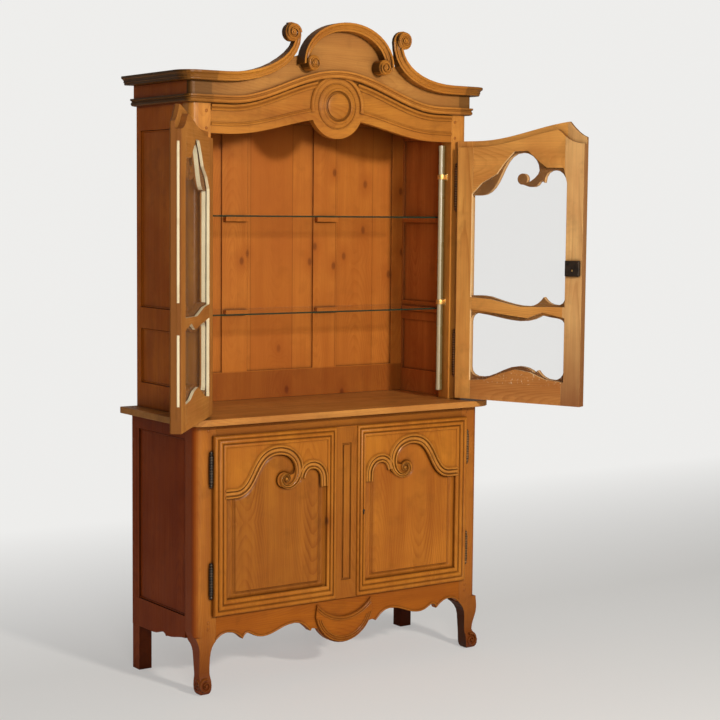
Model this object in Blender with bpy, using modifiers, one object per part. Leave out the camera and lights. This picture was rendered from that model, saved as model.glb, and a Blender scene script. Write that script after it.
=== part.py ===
"""Two-part country buffet: a glazed cabinet with open doors stands on a two-door base.

The cabinet frame has X to the right, Y to the back and Z up. The base's front face is at Y = 0 and its feet
stand at Z = 0. At the end the whole object is moved so that its box stands centred on the origin.
"""
import math

import bmesh
import bpy
from mathutils import Matrix

# Driving sizes in metres
GAP = 0.0003              # space kept between touching pieces
WELD = 0.00001

BASE_HEIGHT = 0.980
BASE_WIDTH = 1.258
BASE_DEPTH = 0.470
TOP_THICK = 0.024
TOP_OVERHANG = 0.048
TOP_CORNER = 0.085        # rounding of the top's front corners
POST_WIDTH = 0.083        # front posts of the base
POST_DEPTH = 0.070
POST_ROUND = 0.028        # rounded outer corner of all front posts
BACK_LEG = 0.052
BOARD = 0.025             # thickness of rails and sides
APRON_TOP = 0.292
LOW_DOOR_BOTTOM = 0.277

CABINET_WIDTH = 1.216
CABINET_SETBACK = 0.067   # cabinet front behind the base front
CABINET_POST = 0.077
CABINET_POST_DEPTH = 0.060
FRIEZE_EDGE = 0.988       # heights above the base top from here on
POST_TOP = 1.092
CORNICE_FOOT = 1.167
MEDALLION_Z = 1.102
SHELF_LOW = 0.351
SHELF_HIGH = 0.704
SHELF_THICK = 0.006
SHELF_FRONT = 0.135       # depth of the shelves' front edge

SWELL_HALF = 0.460        # half length of the serpentine curve
SWELL_EDGE = 0.070        # rise of the front rail's lower edge
SWELL_CROWN = 0.110       # rise of the crown moulding
BUMP_RADIUS = 0.118       # round lobe below the medallion
MEDALLION_RADIUS = 0.080
BAND_PROUD = 0.012        # frieze band stands out from the cabinet sides
PEDIMENT_PROUD = 0.010    # pediment board stands out from the front rail
PEDIMENT_THICK = 0.022
CORNICE_OUT = 0.050
CORNICE_HIGH = 0.032
CREST_SHIFT = 0.016       # the crest sits a little to the right of the middle
SCROLL_X = 0.2455         # eyes of the outer scrolls
SCROLL_Z = 1.362
SCROLL_R = 0.032
SCROLL_CURL = 0.042       # outer radius of the cornice where it curls into the scroll
ARCH_HALF = 0.168         # inner ellipse of the arch
ARCH_RISE = 0.120
ARCH_FOOT = 1.250
ARCH_BAND = 0.030
INNER_SCROLL_X = 0.157
INNER_SCROLL_R = 0.028

LIP = 0.014               # part of a door that lies in front of the frame
LIP_OVER = 0.016          # how far the lip laps over the base posts
CABINET_LIP_OVER = 0.013
DOOR_BACK = 0.020         # part of a glazed door inside the opening
LOW_DOOR_BACK = 0.016
MEETING = 0.0012          # half the play between the glazed doors
DRAWN_WIDTH = 0.544       # width and height for which the glazed doors' pattern is drawn
DRAWN_HEIGHT = 0.980
FALSE_STILE = 0.0905
PANE = 0.003
LOCK_SIDE = 0.058
LOCK_DEEP = 0.014
TUBE_R = 0.013

BARREL_R = 0.007
PIN_R = 0.003
BORE_R = 0.0033
BARREL_TO_LIP = 0.008
LEAF = 0.0024
LEAF_DEEP = 0.024
HINGE_LONG = 0.187        # cabinet hinges with their finials
HINGE_SHORT = 0.135       # base hinges
ROUND_STEPS = 12

LEFT_OPEN = 131.0         # degrees, as the doors stand at rest
RIGHT_OPEN = 112.0

# Sizes worked out from the driving ones
BASE_HALF = BASE_WIDTH / 2
LOW_OPENING = BASE_HALF - POST_WIDTH
TOP_UNDER = BASE_HEIGHT - TOP_THICK
LOW_DOOR_TOP = TOP_UNDER - 0.039
LOW_RAIL = TOP_UNDER - 0.053
LOW_LIP = LOW_OPENING + LIP_OVER
CAB_HALF = CABINET_WIDTH / 2
OPENING = CAB_HALF - CABINET_POST
CAB_LIP = OPENING + CABINET_LIP_OVER
FRONT = CABINET_SETBACK
FOOT = BASE_HEIGHT + GAP
EDGE_Z = BASE_HEIGHT + FRIEZE_EDGE
POST_Z = BASE_HEIGHT + POST_TOP
CORNICE_Z = BASE_HEIGHT + CORNICE_FOOT
MEDAL_Z = BASE_HEIGHT + MEDALLION_Z
PEDIMENT_Y = FRONT - PEDIMENT_PROUD
BAND_HALF = CAB_HALF + BAND_PROUD
BACK_Y = BASE_DEPTH - 0.024
DOOR_FOOT = BASE_HEIGHT + 0.008

PINE = (0.50, 0.22, 0.055)
PINE_DARK = (0.36, 0.14, 0.035)
PINE_PALE = (0.62, 0.34, 0.11)
IRON = (0.05, 0.042, 0.035)
GLASS = (0.78, 0.86, 0.80)
WHITE = (0.85, 0.84, 0.78)


def start():
    """Empty the scene and make one collection for the parts and one for the cutters."""
    for item in list(bpy.data.objects):
        bpy.data.objects.remove(item, do_unlink=True)
    made = []
    for name in ("two_part_buffet", "cutters"):
        home = bpy.data.collections.new(name)
        bpy.context.scene.collection.children.link(home)
        made.append(home)
    return made


PARTS, CUTTERS = start()


def dress(item, colour, roughness=0.45, metallic=0.0):
    """Give the piece its own plain material."""
    material = bpy.data.materials.new(item.name)
    material.use_nodes = True
    shader = material.node_tree.nodes["Principled BSDF"]
    shader.inputs["Base Color"].default_value = (*colour, 1.0)
    shader.inputs["Roughness"].default_value = roughness
    shader.inputs["Metallic"].default_value = metallic
    item.data.materials.clear()
    item.data.materials.append(material)
    return item


class Pen:
    """Collects a flat outline from straight and curved strokes."""

    def __init__(self, x, z):
        self.points = [(x, z)]

    def line(self, x, z):
        self.points.append((x, z))
        return self

    def curve(self, first, second, end, steps=5):
        """Cubic stroke from the last point."""
        x0, z0 = self.points[-1]
        for step in range(1, steps + 1):
            t = step / steps
            a, b, c, d = (1 - t) ** 3, 3 * t * (1 - t) ** 2, 3 * t * t * (1 - t), t ** 3
            self.points.append((a * x0 + b * first[0] + c * second[0] + d * end[0],
                                a * z0 + b * first[1] + c * second[1] + d * end[1]))
        return self

    def arc(self, centre, radius, begin, sweep, steps=6):
        """Round stroke about a centre, angles in degrees."""
        for step in range(steps + 1):
            angle = math.radians(begin + sweep * step / steps)
            self.points.append((centre[0] + radius * math.cos(angle), centre[1] + radius * math.sin(angle)))
        return self


def flip(points):
    """The outline mirrored to the other side of the middle."""
    return [(-x, z) for x, z in reversed(points)]


def settle(temp, name, weld=True):
    """Make a closed mesh object from a curve or a modified object, in the cabinet frame."""
    bpy.context.view_layer.update()
    graph = bpy.context.evaluated_depsgraph_get()
    mesh = bpy.data.meshes.new_from_object(temp.evaluated_get(graph))
    mesh.transform(temp.matrix_world)
    body = bmesh.new()
    body.from_mesh(mesh)
    if weld:
        bmesh.ops.remove_doubles(body, verts=body.verts, dist=WELD)
        bmesh.ops.recalc_face_normals(body, faces=body.faces)
    body.to_mesh(mesh)
    body.free()
    bpy.data.objects.remove(temp)
    mesh.name = name
    item = bpy.data.objects.new(name, mesh)
    PARTS.objects.link(item)
    return item


FRONT_VIEW = Matrix(((1, 0, 0), (0, 0, -1), (0, 1, 0)))
SIDE_VIEW = Matrix(((0, 0, 1), (1, 0, 0), (0, 1, 0)))
TOP_VIEW = Matrix.Identity(3)


def board(name, loops, begin, end, view=FRONT_VIEW):
    """Board cut to closed outlines (the later ones are holes) between two depths across its view."""
    curve = bpy.data.curves.new(name, "CURVE")
    curve.dimensions = "2D"
    curve.fill_mode = "BOTH"
    curve.extrude = (end - begin) / 2
    for loop in loops:
        spline = curve.splines.new("POLY")
        spline.points.add(len(loop) - 1)
        for point, (x, z) in zip(spline.points, loop):
            point.co = (x, z, 0, 1)
        spline.use_cyclic_u = True
    temp = bpy.data.objects.new(name, curve)
    PARTS.objects.link(temp)
    middle = (begin + end) / 2
    place = view.to_4x4()
    if view is FRONT_VIEW:
        middle = -middle
    temp.matrix_world = place @ Matrix.Translation((0, 0, middle))
    return settle(temp, name)


def box(name, x, y, z):
    """Plain board or cutter from its limits on the three axes."""
    mesh = bpy.data.meshes.new(name)
    body = bmesh.new()
    size = [limits[1] - limits[0] for limits in (x, y, z)]
    centre = [(limits[1] + limits[0]) / 2 for limits in (x, y, z)]
    bmesh.ops.create_cube(body, size=1, matrix=Matrix.Translation(centre) @ Matrix.Diagonal((*size, 1)))
    body.to_mesh(mesh)
    body.free()
    item = bpy.data.objects.new(name, mesh)
    PARTS.objects.link(item)
    return item


def turned(name, profile, steps=ROUND_STEPS):
    """Turned piece: a profile of radius and height, top to bottom, spun about Z."""
    mesh = bpy.data.meshes.new(name)
    body = bmesh.new()
    points = [body.verts.new((radius, 0, height)) for radius, height in profile]
    for first, second in zip(points, points[1:]):
        body.edges.new((first, second))
    body.to_mesh(mesh)
    body.free()
    temp = bpy.data.objects.new(name, mesh)
    PARTS.objects.link(temp)
    screw = temp.modifiers.new("turn", "SCREW")
    screw.steps = steps
    screw.render_steps = steps
    screw.use_merge_vertices = True
    screw.merge_threshold = WELD
    return settle(temp, name)


def moulding(name, profile, path, turn=0.0):
    """Profile (out from the face, up) carried along a path that starts at the back of the left side.

    A path that starts upright needs its profile turned by some degrees.
    """
    shape = bpy.data.curves.new(name + "_profile", "CURVE")
    shape.dimensions = "2D"
    shape.fill_mode = "NONE"
    spline = shape.splines.new("POLY")
    spline.points.add(len(profile) - 1)
    for point, (out, up) in zip(spline.points, profile):
        point.co = (out, up, 0, 1)
    spline.use_cyclic_u = True
    guide = bpy.data.objects.new(name + "_profile", shape)
    PARTS.objects.link(guide)
    curve = bpy.data.curves.new(name, "CURVE")
    curve.dimensions = "3D"
    curve.twist_mode = "MINIMUM"
    curve.bevel_mode = "OBJECT"
    curve.bevel_object = guide
    curve.use_fill_caps = True
    spline = curve.splines.new("POLY")
    spline.points.add(len(path) - 1)
    for point, place in zip(spline.points, path):
        point.co = (*place, 1)
        point.tilt = math.radians(turn)
    temp = bpy.data.objects.new(name, curve)
    PARTS.objects.link(temp)
    item = settle(temp, name)
    bpy.data.objects.remove(guide)
    return item


def mirrored(item, name):
    """The same piece for the other side."""
    mesh = item.data.copy()
    mesh.transform(Matrix.Diagonal((-1, 1, 1, 1)))
    mesh.flip_normals()
    twin = bpy.data.objects.new(name, mesh)
    PARTS.objects.link(twin)
    return twin


def shape(item, tool, operation="DIFFERENCE"):
    """Cut, join or trim a piece with a tool that stays among the cutters."""
    PARTS.objects.unlink(tool)
    CUTTERS.objects.link(tool)
    tool.hide_render = True
    tool.display_type = "WIRE"
    tool.parent = item
    change = item.modifiers.new(operation.lower(), "BOOLEAN")
    change.operation = operation
    change.solver = "EXACT"
    change.object = tool
    return item


def bake(item):
    """Fix a piece's modifiers into its mesh and drop the tools."""
    tools = [change.object for change in item.modifiers if change.type == "BOOLEAN"]
    done = settle(item, item.name, False)
    for tool in tools:
        bpy.data.objects.remove(tool)
    return done


def soften(item, width, angle=40.0, segments=2):
    """Round the sharp edges of a piece."""
    bevel = item.modifiers.new("bevel", "BEVEL")
    bevel.width = width
    bevel.segments = segments
    bevel.limit_method = "ANGLE"
    bevel.angle_limit = math.radians(angle)
    return item


def swell(x, low, rise):
    """Height of the serpentine line: a raised cosine that dies out towards the posts."""
    if abs(x) >= SWELL_HALF:
        return low
    return low + rise * math.cos(math.pi * x / (2 * SWELL_HALF)) ** 2


def swell_line(low, rise, begin, end, steps=18):
    """Points of the serpentine line between two places; its level ends take one point each."""
    inner, outer = [max(-SWELL_HALF, min(SWELL_HALF, x)) for x in (begin, end)]
    stations = [inner + (outer - inner) * step / steps for step in range(steps + 1)]
    if begin != inner:
        stations.insert(0, begin)
    if end != outer:
        stations.append(end)
    return [(x, swell(x, low, rise)) for x in stations]


def notch():
    """Where the front rail's lower edge meets the round lobe."""
    near, far = 0.0, BUMP_RADIUS
    for _ in range(40):
        x = (near + far) / 2
        lobe = MEDAL_Z - math.sqrt(BUMP_RADIUS ** 2 - x * x)
        if lobe < swell(x, EDGE_Z, SWELL_EDGE):
            near = x
        else:
            far = x
    return near


# Base


def base_top():
    """Top board with rounded front corners and a rounded nosing."""
    half = BASE_HALF + TOP_OVERHANG
    front, back, corner = -TOP_OVERHANG, BASE_DEPTH + 0.004, TOP_CORNER
    pen = Pen(-half, back)
    pen.arc((-half + corner, front + corner), corner, 180, 90)
    pen.arc((half - corner, front + corner), corner, -90, 90)
    pen.line(half, back)
    item = board("base_top", [pen.points], TOP_UNDER + GAP, BASE_HEIGHT, TOP_VIEW)
    dress(soften(item, TOP_THICK * 0.3, 60), PINE)


def leg_profile(depth, swell, slim, inner, reach, heel):
    """Post and cabriole leg seen square on: distance in from the outer face, and height.

    The knee stands at swell, the ankle lies between slim and inner, and the foot between reach and heel.
    """
    knee, ankle, foot = 0.160, 0.075, 0.033
    pen = Pen(0.0, TOP_UNDER)
    pen.line(0.0, knee + 0.061)
    pen.curve((0.0, knee + 0.04), (swell, knee + 0.025), (swell, knee))
    pen.curve((swell, knee - 0.03), (slim, ankle + 0.03), (slim, ankle))
    pen.curve((slim, ankle - 0.014), (reach + 0.001, foot + 0.026), (reach, foot), 4)
    pen.curve((reach, 0.012), (reach + 0.005, 0.0), (reach + 0.014, 0.0), 4)
    pen.line(heel - 0.014, 0.0)
    pen.curve((heel - 0.004, 0.0), (heel, 0.012), (heel, foot), 4)
    pen.curve((heel, 0.060), (inner, 0.085), (inner + 0.002, knee - 0.030), 4)
    pen.curve((inner + 0.003, knee), (depth - 0.012, knee + 0.018), (depth, knee + 0.027), 4)
    pen.line(depth, TOP_UNDER)
    return pen.points


def corner_tool(name, outer, front, foot, top, r=POST_ROUND):
    """Waste outside a rounded front corner on the right."""
    spare = 0.02
    pen = Pen(outer + spare, front - spare)
    pen.line(outer + spare, front + r)
    pen.arc((outer - r, front + r), r, 0, -90)
    pen.line(outer - r, front - spare)
    return board(name, [pen.points], foot, top, TOP_VIEW)


def leaf_slot(item, x, face, bottom, top):
    """Mortise for a hinge leaf let into the front of a post."""
    wide = LEAF / 2 + GAP
    tool = box(item.name + "_mortise", (x - wide, x + wide), (face - 0.005, face + LEAF_DEEP), (bottom, top))
    return shape(item, tool)


def base_post(name, front, side):
    """Front post on the right: the leg's curve sawn from two faces, and the corner rounded above the knee."""
    front = [(BASE_HALF - inset, z) for inset, z in front]
    post = board(name, [front], -0.05, POST_DEPTH + 0.05)
    blank = board(name + "_side_cut", [side], LOW_OPENING - 0.05, BASE_HALF + 0.05, SIDE_VIEW)
    shape(post, blank, "INTERSECT")
    shape(post, corner_tool(name + "_corner", BASE_HALF, 0.0, 0.205, BASE_HEIGHT))
    for middle in low_hinge_heights():
        leaf_slot(post, LOW_LIP + BARREL_TO_LIP, 0.0, *leaf_span(middle, HINGE_SHORT, False))
    return bake(post)


def base_posts():
    """Both front posts; the right knee swells, and the left leg is the worn, straighter one."""
    front = leg_profile(POST_WIDTH, -0.003, 0.016, 0.053, -0.004, 0.051)
    side = leg_profile(POST_DEPTH, -0.003, 0.001, 0.044, -0.010, 0.042)
    dress(base_post("base_post_right", front, side), PINE)
    front = leg_profile(POST_WIDTH, 0.016, 0.0175, 0.057, 0.012, 0.060)
    side = leg_profile(POST_DEPTH, -0.003, 0.001, 0.042, -0.012, 0.034)
    left = base_post("base_post_left_blank", front, side)
    dress(mirrored(left, "base_post_left"), PINE)
    bpy.data.objects.remove(left)


def side_edge(begin, end):
    """Lower edge of a side from front to back: a long hollow, a small hooked cusp and a level foot."""
    pen = Pen(begin, 0.194)
    pen.curve((begin + 0.050, 0.192), (0.150, 0.176), (0.204, 0.174))
    pen.line(0.213, 0.171)
    pen.curve((0.218, 0.181), (0.230, 0.185), (0.244, 0.182), 3)
    pen.curve((0.262, 0.178), (0.274, 0.168), (0.306, 0.167), 4)
    pen.line(end, 0.166)
    return pen.points


def rect(x, z):
    """Rectangle outline from its limits."""
    return [(x[0], z[0]), (x[1], z[0]), (x[1], z[1]), (x[0], z[1])]


def recess(side, inner, outer, y, z, deep=0.008):
    """Sunk panel field on both faces of a side."""
    shape(side, box("field", (outer - deep, outer + 0.01), y, z))
    shape(side, box("field", (inner - 0.01, inner + deep - 0.001), y, z))


def base_sides():
    """Panelled side with scalloped lower edge and the square back leg."""
    begin, stile = POST_DEPTH + GAP, BASE_DEPTH - 0.035
    leg_y = BASE_DEPTH - BACK_LEG
    inner = BASE_HALF - BOARD
    edge = side_edge(begin, leg_y)
    outline = edge + [(BASE_DEPTH, 0.166), (BASE_DEPTH, TOP_UNDER), (begin, TOP_UNDER)]
    side = board("base_side_right", [outline], inner, BASE_HALF - GAP, SIDE_VIEW)
    recess(side, inner, BASE_HALF - GAP, (begin + 0.006, stile), (0.272, TOP_UNDER - 0.052))
    leg = box("back_leg", (BASE_HALF - BACK_LEG, BASE_HALF - 0.001), (leg_y, BASE_DEPTH - 0.001),
              (0, TOP_UNDER - 0.001))
    shape(side, leg, "UNION")
    side = bake(side)
    dress(side, PINE_DARK)
    dress(mirrored(side, "base_side_left"), PINE_DARK)


def apron_edge():
    """Right half of the front apron's lower edge, from the post to the lunette."""
    pen = Pen(LOW_OPENING - GAP, 0.190)
    pen.curve((0.530, 0.204), (0.515, 0.211), (0.498, 0.211))
    pen.curve((0.470, 0.211), (0.452, 0.196), (0.435, 0.180), 4)
    pen.curve((0.430, 0.192), (0.424, 0.199), (0.414, 0.199), 3)
    pen.curve((0.400, 0.196), (0.385, 0.177), (0.350, 0.177), 4)
    pen.curve((0.300, 0.177), (0.270, 0.208), (0.215, 0.208))
    pen.curve((0.185, 0.208), (0.168, 0.190), (0.148, 0.170), 4)
    pen.line(0.138, 0.178)
    return pen.points


LUNETTE_Z = 0.240
LUNETTE_R = 0.132


def base_apron():
    """Scalloped front rail with the raised crescent of the lunette."""
    right = apron_edge()
    bowl = Pen(*right[-1]).arc((0, LUNETTE_Z), LUNETTE_R, -30, -120, 14).points[1:]
    top = APRON_TOP
    outline = right + bowl + flip(right) + [(-LOW_OPENING + GAP, top), (LOW_OPENING - GAP, top)]
    apron = board("base_apron", [outline], 0.0, BOARD)
    crescent = Pen(0.1204, 0.264).arc((0, LUNETTE_Z), LUNETTE_R - 0.004, -10, -160, 16)
    crescent.arc((0, 0.363), 0.156, -140.5, 101, 10)
    crescent.points.pop()
    shape(apron, board("lunette", [crescent.points], -0.008, 0.012), "UNION")
    dress(bake(apron), PINE)


def base_rails():
    """Front top rail, bottom board and back boards of the base."""
    span = LOW_OPENING - GAP
    dress(box("base_top_rail", (-span, span), (0.0, BOARD), (LOW_RAIL, TOP_UNDER)), PINE)
    inner = BASE_HALF - BOARD - GAP
    leg_x, leg_y = BASE_HALF - BACK_LEG - GAP, BASE_DEPTH - BACK_LEG - GAP
    pen = Pen(LOW_OPENING - GAP, BOARD + GAP)
    pen.line(LOW_OPENING - GAP, POST_DEPTH + GAP).line(inner, POST_DEPTH + GAP).line(inner, leg_y)
    pen.line(leg_x, leg_y).line(leg_x, BACK_Y - GAP)
    floor = board("base_floor", [pen.points + flip(pen.points)], APRON_TOP - 0.020, APRON_TOP, TOP_VIEW)
    dress(floor, PINE_PALE, 0.6)
    back = box("base_back", (-leg_x, leg_x), (BACK_Y, BASE_DEPTH - 0.008), (0.230, TOP_UNDER))
    dress(back, PINE_DARK, 0.6)


# Doors


def scroll_edge(pen, begin, end, low, rise, eye, size, meet):
    """Carved edge of a door's top rail: an S, a hook that ends in a round volute, and a smaller hump.

    The eye of the volute is given as shares of width and rise, its size as a share of the width,
    and meet is the angle where the hook runs into it.
    """
    width = end - begin
    radius = size * width

    def at(u, v):
        return begin + u * width, low + v * rise

    centre = at(*eye)
    turn = math.radians(meet)
    join = (centre[0] + radius * math.cos(turn), centre[1] + radius * math.sin(turn))
    pen.line(*at(0, 0)).line(*at(0.08, 0))
    pen.curve(at(0.19, 0.0), at(0.25, 0.20), at(0.30, 0.46))
    pen.curve(at(0.36, 0.76), at(0.40, 1.0), at(0.53, 1.0))
    pen.curve(at(0.64, 1.0), at(0.71, 0.80), at(0.71, 0.58))
    near = (join[0] + 0.045 * width, join[1])
    pen.curve(at(0.71, 0.48), near, join, 4)
    pen.points.pop()
    pen.arc(centre, radius, meet, 280 - meet, 12)
    pen.curve(at(0.64, 0.15), at(0.69, 0.20), at(0.712, 0.31), 4)
    pen.line(*at(0.738, 0.36)).line(*at(0.762, 0.30))
    pen.curve(at(0.765, 0.50), at(0.81, 0.59), at(0.872, 0.59), 4)
    pen.curve(at(0.95, 0.59), at(0.985, 0.45), at(1.0, 0.29), 4)
    return pen


def pivot(name, x, y, angle):
    """Empty on a door's hinge axis."""
    axis = bpy.data.objects.new(name, None)
    axis.empty_display_size = 0.05
    PARTS.objects.link(axis)
    axis.location = (x, y, 0)
    axis.rotation_euler = (0, 0, math.radians(angle))
    return axis


def axis_y(face):
    """Depth of the hinge axes in front of a face: the middle of the doors' lips."""
    return face - GAP - LIP / 2


def hang(item, axis, at):
    """Hang a piece, modelled closed in the cabinet frame, on its door's axis."""
    item.data.transform(Matrix.Translation((-at[0], -at[1], 0)))
    for tool in item.children:
        tool.data.transform(Matrix.Translation((-at[0], -at[1], 0)))
    item.parent = axis
    return item


def edge_slot(item, lip, y, bottom, top, side):
    """Mortise for a hinge leaf let into a door's hinge edge."""
    deep = lip - LEAF_DEEP + BARREL_TO_LIP
    x = sorted((side * deep, side * (lip + 0.005)))
    wide = LEAF / 2 + GAP
    tool = box(item.name + "_mortise", x, (y - wide, y + wide), (bottom, top))
    return shape(item, tool)


def low_door(side, name, axis, at):
    """Base door: lipped frame with the carved top, and its panel held behind the carved edge."""
    stile, meet = 0.052, 0.044
    outer, inner = LOW_LIP, FALSE_STILE / 2 + GAP * 2
    sight_out, sight_in = outer - stile, inner + meet
    bottom, top = LOW_DOOR_BOTTOM, LOW_DOOR_TOP
    pen = Pen(-sight_out, bottom + 0.055)
    tall = top - bottom
    scroll_edge(pen, -sight_out, -sight_in - 0.020, bottom + 0.648 * tall, 0.222 * tall,
                (0.59, 0.345), 0.068, 35)
    pen.line(-sight_in - 0.020, bottom + 0.667 * tall)
    pen.line(-sight_in + 0.004, bottom + 0.667 * tall)
    pen.line(-sight_in + 0.004, bottom + 0.055)
    hole = pen.points
    plate = rect((-outer, -inner), (bottom, top))
    held = rect((-sight_out - 0.010, -sight_in - 0.010), (bottom + 0.028, top - 0.040))
    back = rect((-LOW_OPENING + GAP * 2, -inner), (APRON_TOP + 0.001, LOW_RAIL - 0.001))
    if side > 0:
        plate, hole, held, back = flip(plate), flip(hole), flip(held), flip(back)
    depth = -GAP - LIP
    frame = board(name + "_frame", [plate, hole], depth, depth + 0.009)
    shape(frame, board(name + "_ring", [plate, held], depth + 0.008, -GAP), "UNION")
    shape(frame, board(name + "_inside", [back, held], -GAP - 0.001, LOW_DOOR_BACK), "UNION")
    frame = bake(frame)
    for middle in low_hinge_heights():
        edge_slot(frame, LOW_LIP, at[1], *leaf_span(middle, HINGE_SHORT, True), side)
    dress(hang(frame, axis, at), PINE)
    field = [min(x for x, z in held) + GAP, max(x for x, z in held) - GAP]
    panel = box(name + "_panel", field, (depth + 0.009 + GAP, LOW_DOOR_BACK - 0.004),
                (bottom + 0.028 + GAP, top - 0.040 - GAP))
    dress(hang(panel, axis, at), PINE)


def false_stile(axis, at):
    """Strip planted on the left door's meeting edge, with a groove run round its face."""
    half = FALSE_STILE / 2
    strip = box("low_door_left_false_stile", (-half, half), (-GAP - LIP, -GAP),
                (LOW_DOOR_BOTTOM, LOW_DOOR_TOP))
    tongue = box("tongue", (-half + 0.001, half - 0.001), (-GAP - 0.001, LOW_DOOR_BACK),
                 (APRON_TOP + 0.001, LOW_RAIL - 0.001))
    shape(strip, tongue, "UNION")
    outer = rect((-0.0205, 0.0205), (LOW_DOOR_BOTTOM + 0.068, LOW_DOOR_TOP - 0.062))
    inner = rect((-0.0125, 0.0125), (LOW_DOOR_BOTTOM + 0.076, LOW_DOOR_TOP - 0.070))
    shape(strip, board("flute", [outer, inner], -LIP - 0.01, -LIP + 0.004))
    dress(hang(bake(strip), axis, at), PINE)


def low_doors():
    """Both base doors, closed at rest, on their axes."""
    for side, word in ((-1, "left"), (1, "right")):
        at = (side * (LOW_LIP + BARREL_TO_LIP), axis_y(0.0))
        axis = pivot("low_door_" + word + "_axis", *at, 0)
        low_door(side, "low_door_" + word, axis, at)
        if side < 0:
            false_stile(axis, at)
        for number, middle in enumerate(low_hinge_heights()):
            hinge("low_hinge_%s_%d" % (word, number + 1), side, at, 0.0, middle, HINGE_SHORT, axis)


def door_top():
    """Top edge of the left glazed door: over the rail's serpentine edge, then clipped round the medallion."""
    peak = -MEDALLION_RADIUS + 0.008
    line = swell_line(EDGE_Z + 0.004, SWELL_EDGE, -CAB_LIP, peak, 12)
    pen = Pen(*line[-1])
    end = (-MEETING, EDGE_Z + 0.012)
    pen.curve((-0.047, EDGE_Z + 0.040), (-0.024, EDGE_Z + 0.020), end, 4)
    return line + pen.points[1:]


def door_inner_top():
    """Top edge of the part inside the opening: clear of the rail's edge and of its round lobe."""
    reach = BUMP_RADIUS + 0.008
    line = swell_line(EDGE_Z - 0.020, SWELL_EDGE, -OPENING + GAP * 2, -reach, 8)
    for step in range(1, 9):
        x = -reach + (reach - MEETING) * step / 8
        lobe = MEDAL_Z - math.sqrt(reach * reach - x * x)
        line.append((x, min(lobe, swell(x, EDGE_Z - 0.020, SWELL_EDGE))))
    return line


def across(inset):
    """Place across the left glazed door, given from its hinge axis on the door as drawn."""
    return -CAB_LIP + (inset - 0.004) * CAB_LIP / DRAWN_WIDTH


def up(height):
    """Height on the glazed doors, given from their foot on the door as drawn."""
    return DOOR_FOOT + height * (EDGE_Z - DOOR_FOOT) / DRAWN_HEIGHT


def glazed_openings():
    """Outlines of the upper and lower lights of the left door: the carved front and the plain back."""
    def at(inset, height):
        return across(inset), up(height)

    pen = Pen(*at(0.076, 0.397))
    scroll_edge(pen, across(0.076), across(0.474), up(0.778), up(0.160) - up(0), (0.533, 0.385), 0.053, -38)
    pen.line(*at(0.474, 0.407))
    pen.curve(at(0.474, 0.384), at(0.462, 0.373), at(0.441, 0.373), 4)
    pen.curve(at(0.415, 0.373), at(0.400, 0.382), at(0.386, 0.401), 4)
    pen.curve(at(0.372, 0.382), at(0.355, 0.367), at(0.327, 0.365), 4)
    pen.curve(at(0.270, 0.362), at(0.215, 0.380), at(0.158, 0.395))
    pen.curve(at(0.130, 0.400), at(0.100, 0.398), at(0.078, 0.397), 3)
    upper = pen.points
    pen = Pen(*at(0.076, 0.297))
    pen.curve(at(0.076, 0.317), at(0.090, 0.331), at(0.110, 0.330), 4)
    pen.curve(at(0.170, 0.326), at(0.230, 0.308), at(0.290, 0.307))
    pen.curve(at(0.340, 0.307), at(0.360, 0.322), at(0.381, 0.333), 4)
    pen.curve(at(0.400, 0.329), at(0.420, 0.325), at(0.440, 0.324), 3)
    pen.curve(at(0.462, 0.322), at(0.474, 0.314), at(0.474, 0.297), 4)
    pen.line(*at(0.474, 0.132))
    pen.curve(at(0.474, 0.107), at(0.455, 0.092), at(0.430, 0.092), 4)
    pen.curve(at(0.395, 0.092), at(0.380, 0.107), at(0.366, 0.125), 4)
    pen.line(*at(0.355, 0.114))
    pen.curve(at(0.335, 0.130), at(0.315, 0.136), at(0.285, 0.136), 4)
    pen.curve(at(0.235, 0.136), at(0.180, 0.087), at(0.130, 0.087))
    pen.curve(at(0.095, 0.084), at(0.076, 0.097), at(0.076, 0.122), 4)
    lower = pen.points
    first = ((0.080, 0.391), (0.080, 0.784), (0.122, 0.825), (0.185, 0.859), (0.214, 0.897), (0.258, 0.942),
             (0.316, 0.944), (0.374, 0.896), (0.395, 0.881), (0.464, 0.880), (0.479, 0.825), (0.479, 0.367),
             (0.290, 0.362), (0.164, 0.386))
    second = ((0.080, 0.345), (0.080, 0.072), (0.148, 0.079), (0.211, 0.104), (0.274, 0.124), (0.337, 0.117),
              (0.399, 0.094), (0.479, 0.087), (0.479, 0.326), (0.386, 0.344), (0.324, 0.320))
    plain_upper = [at(*place) for place in first]
    plain_lower = [at(*place) for place in second]
    return upper, lower, plain_upper, plain_lower


PANE_Y = FRONT + 0.006    # front of the panes in their grooves


def pane_limits():
    """Width and heights of a left door's panes, which slide in from the meeting edge."""
    x = (across(0.068), -MEETING - 0.004)
    return x, (up(0.360), up(0.950)), (up(0.062), up(0.332))


def door_frame():
    """Whole left glazed frame in two layers with the panes' grooves, ready to be parted."""
    upper, lower, plain_upper, plain_lower = glazed_openings()
    face = [(-CAB_LIP, DOOR_FOOT)] + door_top() + [(-MEETING, DOOR_FOOT)]
    inside = [(-OPENING + GAP * 2, DOOR_FOOT)] + door_inner_top() + [(-MEETING, DOOR_FOOT)]
    frame = board("frame", [face, upper, lower], FRONT - GAP - LIP, FRONT - GAP)
    shape(frame, board("middle", [inside, upper, lower], FRONT - 0.001, PANE_Y + 0.002), "UNION")
    inner = board("inner", [inside, plain_upper, plain_lower], PANE_Y + 0.001, FRONT + DOOR_BACK)
    shape(frame, inner, "UNION")
    x, *heights = pane_limits()
    for z in heights:
        deep = (PANE_Y, PANE_Y + PANE + GAP * 2)
        groove = box("groove", (x[0] - GAP, 0.01), deep, (z[0] - GAP, z[1] + GAP))
        shape(frame, groove)
    return bake(frame)


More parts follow.
